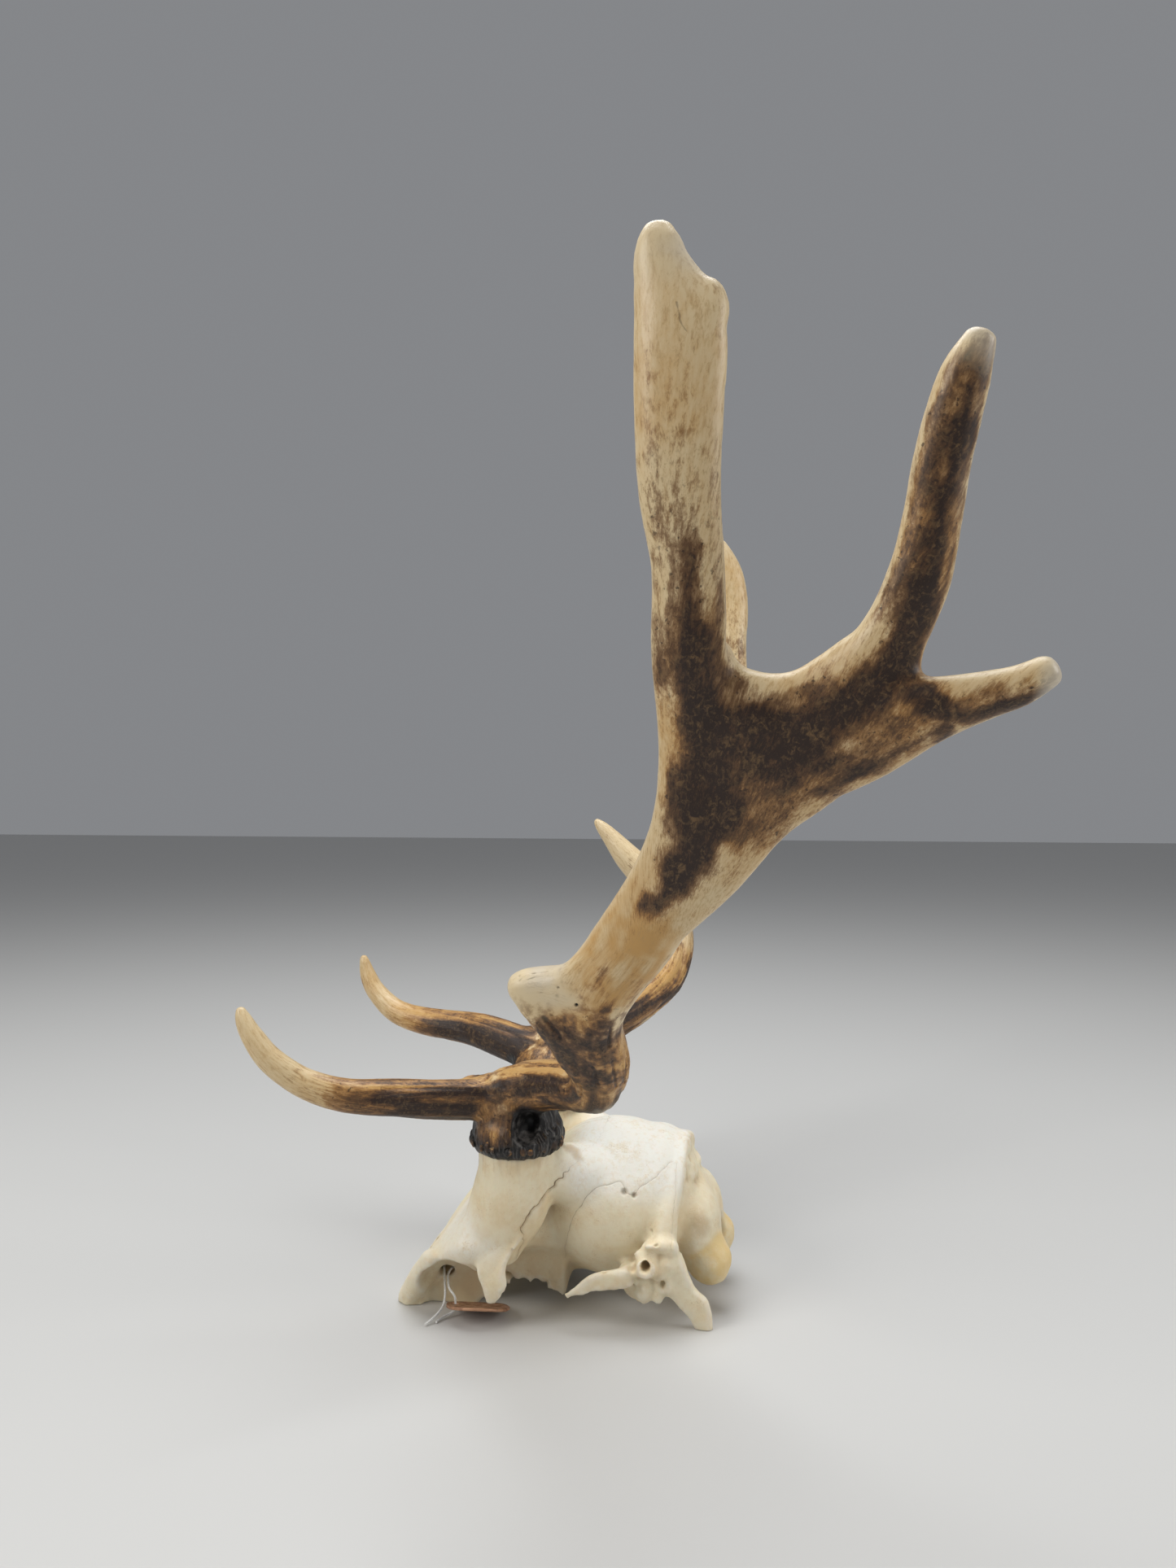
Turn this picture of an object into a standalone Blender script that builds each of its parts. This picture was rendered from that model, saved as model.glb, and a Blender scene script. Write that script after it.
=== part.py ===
"""The back of a small palmate deer's skull, cut off level through the eye sockets, with both antlers.

Lengths are written in millimetres and turned into metres where a mesh is made. +X is the animal's
left, -Y the way it faced and +Z up. In the lists below the middle of the skull lies at X = 0 and the
floor at Z = 0. The empty that carries the parts then brings the middle of the whole to X = Y = 0.
"""

import math

import bmesh
import bpy
from mathutils import Matrix, Vector

MM = 0.001

# Driving dimensions, in millimetres and degrees.
BURR_DIAMETER = 40.0
BURR_HEIGHT = 9.0
BURR_CENTRE = (34.0, -24.0, 75.5)
BURR_PEARLS = 17
PEARL_RADIUS = 3.1
FORK_GAP = 0.3
PEDICLE_TOP = 70.2
TAG_DIAMETER = 26.0
TAG_THICKNESS = 1.4
TAG_TILT = 19.0
TAG_CENTRE = (40.0, -39.2, 4.95)
TAG_HOLE_DIAMETER = 3.6
TAG_HOLE_REACH = 9.6
STRING_DIAMETER = 1.0

# How finely the grown shapes are skinned, and the triangles that are left of them.
ANTLER_VOXEL = 1.7
ANTLER_TRIANGLES = 2540
SKULL_VOXEL = 1.5
SKULL_TRIANGLES = 2400

# A station is (x, y, z, width, thickness): a point on a branch's centre line, and the size of the
# oval section there. The thickness is measured across the flat of the palm.
LEFT_BRANCHES = {
    "beam": [
        (34, -24, 73, 30, 30), (35, -24, 83, 25, 25), (38, -20, 93, 23, 23), (48, -10, 99, 20, 20),
        (62, 3, 103, 19.5, 19), (80, 15, 108, 20, 19), (97, 19, 122, 23, 20), (113, 18, 140, 24, 20),
        (123, 25, 154, 24, 18), (133, 38, 170, 23, 17), (144, 50, 190, 23, 15),
        (152, 56, 208, 23, 13), (159, 57, 230, 22, 12.5), (170, 56, 257, 22, 12.5),
        (175, 56, 279, 21, 12.5), (180, 54, 300, 23, 12), (183, 54, 322, 25, 12),
        (185, 54.5, 341, 25.5, 12), (185, 52, 355, 21, 11), (185, 49.5, 366, 14.5, 10),
        (185, 49, 370, 9, 8),
    ],
    "front_shoulder": [
        (185, 58, 336, 12, 10), (185, 61, 346, 12.5, 10), (185, 61, 351, 9, 8),
    ],
    "rear_palm": [
        (133, 37, 170, 20, 15), (146, 57, 194, 28, 13), (154, 72, 213, 30, 12),
        (161, 90, 229, 33, 12), (166, 104, 244, 29, 12), (169.5, 112.5, 261, 20, 13),
        (174, 118.5, 275, 17.5, 13), (177.5, 121.5, 290, 16, 13), (181, 123.5, 304, 15.5, 12.5),
        (184.5, 125.8, 315, 15, 12), (187.5, 128.5, 325, 13.5, 11), (189.7, 132, 333.5, 8.5, 8),
    ],
    "palm_rim": [
        (161.5, 62, 258, 12, 11), (162.5, 65.5, 249, 14, 11), (163, 74, 245, 14, 11),
        (164, 84, 244.5, 14, 11), (165, 94, 248, 15, 11), (167, 103, 255, 15, 12),
    ],
    "lower_rear": [
        (158, 81, 219, 22, 11), (163, 103, 231, 26, 12), (168, 122, 239.5, 20, 12),
        (171.5, 136, 243, 14, 11), (174, 145, 245.5, 11.5, 10), (176, 152, 249.3, 9, 8.5),
    ],
    "web": [
        (148, 57, 198, 28, 11), (156, 68, 218, 40, 10.5), (162, 75, 234, 40, 10.5),
        (163.5, 78, 241, 34, 10.5),
    ],
    "brow": [
        (36, -24, 88, 20, 20), (42, -35, 90.5, 17.5, 16.5), (50, -53, 92, 16.5, 15),
        (57, -72, 93.5, 15.5, 14), (62, -89, 95.5, 13.8, 12.5), (66, -104, 101, 12, 11),
        (69, -116, 110, 10.6, 10), (70, -123, 119, 9, 8.6), (70, -127, 126, 6.8, 6.5),
        (70, -128.3, 130, 4, 4),
    ],
    "second": [
        (119, 20, 148, 21, 19), (120, 9, 151, 16, 16), (120, 0, 151.5, 13, 13.5),
        (120, -5, 150.5, 10.5, 11),
    ],
}

RIGHT_BRANCHES = {
    "beam": [
        (-34, -24, 73, 30, 30), (-35, -24, 83, 25, 25), (-38, -21, 93, 23, 23),
        (-50, -11, 98, 20, 20), (-66, 3, 103, 19.5, 19), (-83, 15, 109.5, 20, 19),
        (-100, 23.5, 118, 22, 20), (-113, 27, 132, 24, 20), (-121, 26, 148, 24, 19),
        (-130, 32, 168, 23, 17), (-142, 48, 190, 23, 15), (-151, 55, 208, 23, 13),
        (-159, 58, 230, 22, 12.5), (-170, 57, 257, 22, 12.5), (-176, 56, 279, 21, 12.5),
        (-180, 54, 300, 23, 12), (-184, 54, 322, 25, 12), (-185, 52, 339, 25, 12),
        (-185, 49, 352, 20, 11), (-185, 47, 361, 13, 9),
    ],
    "rear_palm": [
        (-131, 36, 170, 20, 15), (-145, 57, 194, 28, 13), (-153, 72, 213, 30, 12),
        (-160, 90, 229, 33, 12), (-165, 105, 244, 29, 12), (-169, 117, 259, 21, 13),
        (-173, 127, 273, 17.5, 13), (-177, 139, 289, 16, 13), (-180, 149, 301, 14, 12),
        (-181, 155, 309, 10, 9),
    ],
    "palm_rim": [
        (-161.5, 62, 258, 12, 11), (-162.5, 65.5, 249, 14, 11), (-163, 74, 245, 14, 11),
        (-164, 84, 244.5, 14, 11), (-165, 94, 248, 15, 11), (-167, 104, 254, 15, 12),
    ],
    "lower_rear": [
        (-157, 81, 219, 22, 11), (-162, 103, 231, 26, 12), (-167, 122, 239.5, 20, 12),
        (-170.5, 136, 242.5, 14, 11), (-173, 145, 245, 11.5, 10), (-175, 152, 249, 9, 8.5),
    ],
    "web": [
        (-147, 57, 198, 28, 11), (-155, 68, 218, 40, 10.5), (-161, 76, 234, 40, 10.5),
        (-163.5, 79, 241, 34, 10.5),
    ],
    "brow": [
        (-36, -24, 90, 20, 20), (-41, -39, 93.5, 18.5, 17.5), (-49, -57, 97, 17.3, 16),
        (-55, -71, 98.5, 16, 14.5), (-60, -92, 99.5, 13.8, 12.5), (-65, -109, 103, 12, 11),
        (-68.5, -121, 112, 10, 9.6), (-70, -126, 120, 8.4, 8), (-70, -128, 127, 5.6, 5.4),
        (-70, -128.5, 130, 3.6, 3.6),
    ],
    "second": [
        (-121, 26, 152, 22, 20), (-124, 13, 168, 18, 16), (-126, 2, 179, 14.5, 13),
        (-128, -6, 188, 10.8, 10), (-129.3, -12.5, 195, 7.2, 7), (-130, -16, 198.5, 4, 4),
    ],
}

# Where each antler is split: (node, point in the cut, direction across it, cut radius).
LEFT_FORKS = [
    ("left_brow_tine", (43, -38, 91), (0.35, -0.93, 0.08), 13),
    ("left_front_tine", (166.5, 56, 262), (0.3, 0, 0.95), 17),
    ("left_upper_rear_tine", (171, 115, 264), (0.2, 0.36, 0.91), 14),
    ("left_lower_rear_tine", (170, 131, 242.5), (0.2, 0.95, 0.2), 13),
]
RIGHT_FORKS = [
    ("right_brow_tine", (-43, -43, 94.3), (-0.4, -0.9, 0.15), 13),
    ("right_second_tine", (-124.6, 9, 171.5), (-0.17, -0.68, 0.71), 13),
    ("right_front_tine", (-166.5, 57, 262), (-0.3, 0, 0.95), 17),
    ("right_upper_rear_tine", (-170, 118, 262), (-0.2, 0.55, 0.8), 14),
    ("right_lower_rear_tine", (-169, 131, 242), (-0.2, 0.95, 0.2), 13),
]

# The skull's middle. A ball is (centre, radii).
BRAINCASE_BALLS = [
    ((0, 13, 40.5), (37, 36, 32.5)),
    ((0, 31, 42), (34, 19, 28.5)),
    ((0, 42, 34), (25, 14.5, 20)),
]
BRAINCASE_FLOOR = [(0, 48, 17, 26, 12), (0, 20, 15, 28, 12), (0, -14, 16, 34, 14)]

# The frontal bones, from back to front: (y, half width, top, rim, inner wall's x).
FOREHEAD = [
    (-6, 27, 62, 32, 22), (-20, 33, 60, 34, 22), (-30, 46, 56, 33, 23), (-40, 52, 49, 33, 26),
    (-49, 50, 40, 31, 27), (-61, 42, 25, 20, 27), (-72, 34, 11, 9, 27), (-77, 31, 4, 3, 28),
]

# The skull's left side, as stations like an antler's. The right side mirrors it.
PEDICLE = [
    (34, -24, 70.7, 33, 33), (34.2, -24, 62, 32, 32), (35.5, -26, 50, 33, 32), (37, -31, 37, 29, 26),
    (36, -33, 24, 18, 18),
]
SWELL_BEHIND_PEDICLE = [(31, -14, 60, 24, 22), (25, -3, 56, 26, 26), (18, 8, 52, 28, 30)]
BAR_BEHIND_SOCKET = [
    (42, -27, 40, 20, 14), (48, -30, 27, 17, 9), (51, -31, 19, 15, 6.5), (50.5, -33, 13.5, 8, 5),
]
FRONT_FOOT = [(43, -57, 25, 10, 8), (36, -65, 14, 10, 8), (30, -70, 4, 11, 8), (27, -71, -6, 11, 8)]
CREST = [(2, 42, 65, 7, 7), (18, 41, 59, 8, 8), (30, 38, 46, 9, 9), (35, 36, 30, 12, 11)]
REAR_FOOT = [(36, 40, 27, 16, 9), (35, 45, 15, 12, 8), (33.5, 50.5, 5, 8.5, 7), (33, 53.5, -5, 7, 6)]
CHEEK_ROOT = [(36, 29, 22, 12, 11), (41.5, 18, 21.5, 11, 9), (44, 7, 18.5, 11.5, 5.5), (43, -1, 14.5, 9.5, 5)]
EAR_TUBE = [(28, 29, 25, 11, 11), (41.5, 30.5, 25.5, 10, 10)]
SOCKET_SHOULDER = ((38, -41, 31), (11, 11, 12))
CONDYLE = ((14.5, 53.5, 20), (9.5, 10.2, 10.5))
BULLA = ((26, 27, 15), (9, 10, 8))

# What is hollowed out of the left side, mirrored on the right: (centre, radii, turn about Z).
SIDE_HOLLOWS = [
    ((52, -49, 10), (24, 14, 17), 0),
    ((42, -52, 9), (14.5, 13.5, 15), 0),
    ((49, -14, 12), (20, 10, 15), -14),
    ((24, -56, 14), (10, 3.4, 3.2), 0),
    ((48, 31, 25.5), (14, 2.6, 2.6), 0),
]
# What is hollowed out in the middle: under the forehead, and the opening to the spine.
MIDDLE_HOLLOWS = [
    ((0, -54, -4), (19, 25, 30)),
    ((0, -24, -6), (40, 27, 17)),
    ((0, 64, 26), (9, 17, 8.5)),
]

# The string's way, chosen by hand: from a loose end on the floor up into the hole in the socket's
# wall, back out, down through the tag's hole in a small loop, and to the other end on the floor.
STRING_WAY = [
    (49.6, -58.9, 0.55), (47.4, -57.2, 1.5), (44.6, -55.2, 2.9), (42.0, -53.9, 4.4), (40.2, -53.5, 6.0),
    (38.2, -53.7, 7.8), (35.4, -54.5, 10.2), (31.8, -55.8, 12.6), (28.2, -56.9, 13.9), (25.2, -57.9, 14.1),
    (22.9, -58.1, 14.1), (21.5, -57.4, 14.1), (21.0, -56.0, 14.1), (21.5, -54.6, 14.1), (22.9, -53.9, 14.1),
    (25.2, -54.0, 14.0), (28.0, -54.5, 13.8), (31.0, -54.5, 13.0), (34.2, -53.5, 11.7), (36.8, -52.4, 10.4),
    (38.6, -50.8, 9.6), (39.7, -49.3, 8.5), (40.1, -48.8, 6.6), (40.1, -48.9, 3.9), (40.3, -49.9, 2.3),
    (40.9, -51.5, 1.5), (42.2, -53.1, 1.0), (44.3, -54.3, 0.7), (46.8, -55.0, 0.55),
]

# Colours (linear), roughness.
ANTLER_FINISH = ((0.30, 0.19, 0.09), 0.45)
TINE_FINISH = ((0.55, 0.42, 0.24), 0.4)
BONE_FINISH = ((0.72, 0.64, 0.48), 0.6)
TAG_FINISH = ((0.30, 0.14, 0.08), 0.4)
STRING_FINISH = ((0.75, 0.75, 0.72), 0.8)


# ---------------------------------------------------------------- helpers

def empty_scene():
    """Remove what the scene starts with."""
    for obj in list(bpy.data.objects):
        bpy.data.objects.remove(obj, do_unlink=True)


def collection(name):
    """A new collection, linked to the scene."""
    made = bpy.data.collections.new(name)
    bpy.context.scene.collection.children.link(made)
    return made


def finish(name, colour_and_roughness):
    """A plain Principled material."""
    colour, roughness = colour_and_roughness
    material = bpy.data.materials.new(name)
    material.use_nodes = True
    shader = material.node_tree.nodes["Principled BSDF"]
    shader.inputs["Base Color"].default_value = (*colour, 1.0)
    shader.inputs["Roughness"].default_value = roughness
    return material


def new_object(name, mesh_maker, home):
    """An object from a bmesh in millimetres, scaled to metres."""
    mesh_maker.transform(Matrix.Scale(MM, 4))
    mesh = bpy.data.meshes.new(name)
    mesh_maker.to_mesh(mesh)
    mesh_maker.free()
    obj = bpy.data.objects.new(name, mesh)
    home.objects.link(obj)
    return obj


def settle(obj):
    """Replace an object's mesh by what its modifiers make of it."""
    graph = bpy.context.evaluated_depsgraph_get()
    made = bpy.data.meshes.new_from_object(obj.evaluated_get(graph))
    obj.modifiers.clear()
    before = obj.data
    obj.data = made
    bpy.data.meshes.remove(before)


def spline(stations, steps):
    """Points on a Catmull-Rom curve through the stations, whatever each one holds."""
    rows = [stations[0], *stations, stations[-1]]
    out = []
    for a, b, c, d in zip(rows, rows[1:], rows[2:], rows[3:]):
        for step in range(steps):
            t = step / steps
            out.append(tuple(
                0.5 * (2 * q + (r - p) * t + (2 * p - 5 * q + 4 * r - s) * t ** 2
                       + (3 * q - p - 3 * r + s) * t ** 3)
                for p, q, r, s in zip(a, b, c, d)))
    out.append(tuple(stations[-1]))
    return out


def add_branch(maker, stations, thin_way, bulge=0.3, sides=20, steps=4):
    """Add a closed oval tube along the stations to a bmesh. Its ends bulge by a share of their size."""
    rows = spline(stations, steps)
    points = [Vector(row[:3]) for row in rows]
    tangents = [(points[min(i + 1, len(points) - 1)] - points[max(i - 1, 0)]).normalized()
                for i in range(len(points))]
    thin = Vector(thin_way)
    frames = []
    for tangent in reversed(tangents):
        thin = (thin - tangent * thin.dot(tangent)).normalized()
        frames.append((tangent.cross(thin), thin.copy()))
    frames.reverse()

    rings = []
    for (wide, thin), point, row in zip(frames, points, rows):
        wide_radius = wide * row[3] / 2
        thin_radius = thin * row[4] / 2
        turns = [2 * math.pi * k / sides for k in range(sides)]
        rings.append([maker.verts.new(point + wide_radius * math.cos(turn) + thin_radius * math.sin(turn))
                      for turn in turns])
    for low, high in zip(rings, rings[1:]):
        for k in range(sides):
            maker.faces.new((low[k], low[(k + 1) % sides], high[(k + 1) % sides], high[k]))
    for ring, point, way, row in ((rings[0], points[0], -tangents[0], rows[0]),
                                  (rings[-1], points[-1], tangents[-1], rows[-1])):
        tip = maker.verts.new(point + way * row[4] * bulge)
        for k in range(sides):
            maker.faces.new((ring[k], ring[(k + 1) % sides], tip))


def mirrored(stations, side):
    """Stations of the left side, put on the side that is asked for (1 is left, -1 is right)."""
    return [(side * x, *rest) for x, *rest in stations]


def add_ball(maker, centre, radii, turn=0.0):
    """Add an ellipsoid to a bmesh, turned about Z by an angle in degrees."""
    spin = Matrix.Rotation(math.radians(turn), 4, "Z")
    place = Matrix.Translation(centre) @ spin @ Matrix.Diagonal((*radii, 1.0))
    bmesh.ops.create_uvsphere(maker, u_segments=24, v_segments=14, radius=1.0, matrix=place)


def add_block(maker, sections):
    """Add a loft between closed outlines of equal count, the ends filled flat."""
    rings = [[maker.verts.new(point) for point in outline] for outline in sections]
    for low, high in zip(rings, rings[1:]):
        for k in range(len(low)):
            nxt = (k + 1) % len(low)
            maker.faces.new((low[k], low[nxt], high[nxt], high[k]))
    maker.faces.new(rings[0])
    maker.faces.new(rings[-1])


def fuse(obj, voxel, smoothing):
    """Make one closed skin of all the shapes in an object and round the joins between them."""
    maker = bmesh.new()
    maker.from_mesh(obj.data)
    bmesh.ops.recalc_face_normals(maker, faces=maker.faces)
    maker.to_mesh(obj.data)
    maker.free()
    remesh = obj.modifiers.new("skin", "REMESH")
    remesh.mode = "VOXEL"
    remesh.voxel_size = voxel * MM
    smooth = obj.modifiers.new("rounding", "SMOOTH")
    smooth.factor = 0.5
    smooth.iterations = smoothing
    settle(obj)


def thin_out(obj, triangles):
    """Bring a mesh down to a number of triangles."""
    now = sum(len(face.vertices) - 2 for face in obj.data.polygons)
    decimate = obj.modifiers.new("thinning", "DECIMATE")
    decimate.ratio = triangles / now
    decimate.use_collapse_triangulate = True
    settle(obj)


def combine(obj, other, operation):
    """Apply a Boolean of another object to this one."""
    boolean = obj.modifiers.new("boolean", "BOOLEAN")
    boolean.operation = operation
    boolean.solver = "EXACT"
    boolean.object = other
    settle(obj)


def as_cutter(obj):
    """Mark an object as a helper that is no part of the model."""
    obj.hide_render = True
    obj.display_type = "WIRE"
    return obj


def box_cutter(name, centre, size, home):
    """A box to cut with."""
    maker = bmesh.new()
    place = Matrix.Translation(centre) @ Matrix.Diagonal((*size, 1))
    bmesh.ops.create_cube(maker, size=1.0, matrix=place)
    return as_cutter(new_object(name, maker, home))


# ---------------------------------------------------------------- antlers

def add_burr(maker, side):
    """Add the ring of pearls where the antler stands on its pedicle."""
    centre = Vector((side * BURR_CENTRE[0], *BURR_CENTRE[1:]))
    plate_radius = BURR_DIAMETER / 2 - 1.5
    reach = BURR_DIAMETER / 2 - PEARL_RADIUS
    add_ball(maker, centre, (plate_radius, plate_radius, BURR_HEIGHT / 2))
    for k in range(BURR_PEARLS):
        turn = 2 * math.pi * k / BURR_PEARLS
        drop = 1.2 * math.sin(3 * turn) - 0.6
        spot = centre + Vector((reach * math.cos(turn), reach * math.sin(turn), drop))
        add_ball(maker, spot, (PEARL_RADIUS, PEARL_RADIUS, PEARL_RADIUS * 1.3))


def whole_antler(name, branches, side, home):
    """One antler in one skin, before it is split at its forks."""
    thin_way = (side * 0.93, 0.0, -0.37)
    maker = bmesh.new()
    for stations in branches.values():
        add_branch(maker, stations, thin_way)
    add_burr(maker, side)
    obj = new_object(name, maker, home)
    fuse(obj, ANTLER_VOXEL, 3)
    thin_out(obj, ANTLER_TRIANGLES)
    seat_height = 30
    seat_centre = (0, BURR_CENTRE[1], PEDICLE_TOP + FORK_GAP - seat_height / 2)
    seat = box_cutter("seat_cut", seat_centre, (160, 80, seat_height), home)
    combine(obj, seat, "DIFFERENCE")
    return obj


def fork_cutter(forks, home):
    """Thin discs, one across each fork."""
    maker = bmesh.new()
    for _, point, across, radius in forks:
        turn = Vector((0, 0, 1)).rotation_difference(Vector(across)).to_matrix().to_4x4()
        bmesh.ops.create_cone(maker, cap_ends=True, segments=24, radius1=radius, radius2=radius,
                              depth=FORK_GAP, matrix=Matrix.Translation(point) @ turn)
    return as_cutter(new_object("fork_cutter", maker, home))


def loose_pieces(mesh):
    """The sets of vertex numbers that hang together in a mesh."""
    parent = list(range(len(mesh.vertices)))

    def root(k):
        while parent[k] != k:
            parent[k] = parent[parent[k]]
            k = parent[k]
        return k

    for edge in mesh.edges:
        a, b = root(edge.vertices[0]), root(edge.vertices[1])
        parent[max(a, b)] = min(a, b)
    groups = {}
    for k in range(len(parent)):
        groups.setdefault(root(k), set()).add(k)
    return list(groups.values())


def split_at_forks(obj, forks, beam_name, home):
    """Cut an antler at its forks and give each piece its own object."""
    cutter = fork_cutter(forks, home["helpers"])
    combine(obj, cutter, "DIFFERENCE")
    pieces = sorted(loose_pieces(obj.data), key=len, reverse=True)[:len(forks) + 1]
    names = {}
    for name, point, across, _ in forks:
        beyond = Vector(point) + Vector(across).normalized() * 4.0
        nearest = min(range(len(pieces)), key=lambda k: min(
            (obj.data.vertices[v].co / MM - beyond).length for v in pieces[k]))
        names[nearest] = name
    for k, piece in enumerate(pieces):
        maker = bmesh.new()
        maker.from_mesh(obj.data)
        maker.verts.ensure_lookup_table()
        drop = [vert for vert in maker.verts if vert.index not in piece]
        bmesh.ops.delete(maker, geom=drop, context="VERTS")
        mesh = bpy.data.meshes.new(names.get(k, beam_name))
        maker.to_mesh(mesh)
        maker.free()
        home["parts"].objects.link(bpy.data.objects.new(mesh.name, mesh))
    bpy.data.objects.remove(obj)


def make_antlers(home):
    """Both antlers, split at their main forks."""
    for label, branches, forks, side in (("left", LEFT_BRANCHES, LEFT_FORKS, 1),
                                         ("right", RIGHT_BRANCHES, RIGHT_FORKS, -1)):
        whole = whole_antler(label + "_antler", branches, side, home["helpers"])
        split_at_forks(whole, forks, label + "_beam", home)


# ---------------------------------------------------------------- skull

def forehead_section(y, half_width, top, rim, inner):
    """Outline of the frontal bones at one depth.

    It is flat on top and falls to a rim at each side, and under the rims it steps in to the wall
    between the eye sockets.
    """
    right_half = [(0, top), (half_width * 0.6, top - 0.3), (half_width * 0.84, (top * 3 + rim) / 4),
                  (half_width, rim), (half_width - 2, rim - 7), (inner, rim - 12), (inner, -6)]
    left_half = [(-x, z) for x, z in reversed(right_half)]
    outline = right_half + [(0, -6)] + left_half[:-1]
    return [(x, y, z) for x, z in outline]


def add_skull_side(maker, side):
    """Add what each side of the skull has: pedicle, socket rim, crest, condyle and processes."""
    across, upright = (1, 0, 0), (0, 0, 1)
    add_branch(maker, mirrored(PEDICLE, side), across, bulge=0)
    add_branch(maker, mirrored(SWELL_BEHIND_PEDICLE, side), upright)
    for stations in (BAR_BEHIND_SOCKET, FRONT_FOOT, REAR_FOOT, CHEEK_ROOT):
        add_branch(maker, mirrored(stations, side), across)
    add_branch(maker, mirrored(CREST, side), (0, 1, 0))
    add_branch(maker, mirrored(EAR_TUBE, side), upright)
    for (x, y, z), radii in (SOCKET_SHOULDER, CONDYLE, BULLA):
        add_ball(maker, (side * x, y, z), radii)


def make_hollows(home):
    """The shape cut out of the skull: sockets, the string's hole, the ears and the hollows under it."""
    maker = bmesh.new()
    for side in (-1, 1):
        for (x, y, z), radii, turn in SIDE_HOLLOWS:
            add_ball(maker, (side * x, y, z), radii, side * turn)
    for centre, radii in MIDDLE_HOLLOWS:
        add_ball(maker, centre, radii)
    hollows = as_cutter(new_object("skull_hollows", maker, home))
    fuse(hollows, SKULL_VOXEL, 1)
    return hollows


def make_skull(home):
    """The skull: braincase, frontal bones, pedicles, sockets and the processes under it."""
    maker = bmesh.new()
    for centre, radii in BRAINCASE_BALLS:
        add_ball(maker, centre, radii)
    add_block(maker, [forehead_section(*numbers) for numbers in FOREHEAD])
    for side in (-1, 1):
        add_skull_side(maker, side)
    add_branch(maker, BRAINCASE_FLOOR, (0, 0, 1))
    skull = new_object("skull", maker, home["parts"])
    fuse(skull, SKULL_VOXEL, 4)
    combine(skull, make_hollows(home["helpers"]), "DIFFERENCE")
    fuse(skull, SKULL_VOXEL, 2)
    thin_out(skull, SKULL_TRIANGLES)

    depth = 40
    floor = box_cutter("floor_cut", (0, 0, -depth / 2), (160, 240, depth), home["helpers"])
    combine(skull, floor, "DIFFERENCE")
    height = 20
    for side in (-1, 1):
        centre = (side * BURR_CENTRE[0], BURR_CENTRE[1], PEDICLE_TOP + height / 2)
        top = box_cutter("pedicle_cut", centre, (44, 44, height), home["helpers"])
        combine(skull, top, "DIFFERENCE")


# ---------------------------------------------------------------- tag

def make_tag(home):
    """The bare round tag, leaning with its outer edge up, with a hole for the string."""
    place = Matrix.Translation(TAG_CENTRE) @ Matrix.Rotation(-math.radians(TAG_TILT), 4, "Y")
    maker = bmesh.new()
    bmesh.ops.create_cone(maker, cap_ends=True, segments=36, radius1=TAG_DIAMETER / 2,
                          radius2=TAG_DIAMETER / 2, depth=TAG_THICKNESS, matrix=place)
    tag = new_object("hang_tag", maker, home["parts"])
    maker = bmesh.new()
    hole = place @ Matrix.Translation((0, -TAG_HOLE_REACH, 0))
    bmesh.ops.create_cone(maker, cap_ends=True, segments=12, radius1=TAG_HOLE_DIAMETER / 2,
                          radius2=TAG_HOLE_DIAMETER / 2, depth=3 * TAG_THICKNESS, matrix=hole)
    combine(tag, as_cutter(new_object("tag_hole", maker, home["helpers"])), "DIFFERENCE")


def make_string(home):
    """The string as a curve with round ends along its way, then as a mesh."""
    points = spline(STRING_WAY, 2)
    curve = bpy.data.curves.new("tag_string", "CURVE")
    curve.dimensions = "3D"
    curve.bevel_depth = STRING_DIAMETER / 2 * MM
    curve.bevel_resolution = 2
    curve.use_fill_caps = True
    line = curve.splines.new("POLY")
    line.points.add(len(points) - 1)
    for spot, point in zip(line.points, points):
        spot.co = (*(Vector(point) * MM), 1.0)
    home["parts"].objects.link(bpy.data.objects.new("tag_string", curve))


# ---------------------------------------------------------------- build

def main():
    empty_scene()
    home = {"parts": collection("deer_antlers_on_skull"), "helpers": collection("helpers")}
    make_antlers(home)
    make_skull(home)
    make_tag(home)
    make_string(home)
    frame = bpy.data.objects.new("frame", None)
    home["parts"].objects.link(frame)
    parts = [obj for obj in home["parts"].objects if obj.type != "EMPTY"]
    finishes = {"skull": finish("bone", BONE_FINISH), "tag": finish("tag", TAG_FINISH),
                "string": finish("string", STRING_FINISH), "beam": finish("dark antler", ANTLER_FINISH),
                "tine": finish("pale antler", TINE_FINISH)}
    for obj in parts:
        obj.parent = frame
        obj.data.materials.clear()
        obj.data.materials.append(finishes[obj.name.split("_")[-1]])
    corners = [vert.co for obj in parts if obj.type == "MESH" for vert in obj.data.vertices]
    for axis in (0, 1):
        low = min(corner[axis] for corner in corners)
        high = max(corner[axis] for corner in corners)
        frame.location[axis] = -(low + high) / 2


main()
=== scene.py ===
"""Deer antlers grown on their cut skull, with a plain tag on a string: the finished surfaces.

Lists are in millimetres and turned into metres where a mesh is made. +X is the animal's left, -Y the way
it faced and +Z up. In the lists the middle of the skull lies at X = 0 and the floor at Z = 0.
"""

import math
from types import SimpleNamespace

import bmesh
import bpy
import numpy as np
from mathutils import Matrix, Vector


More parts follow.
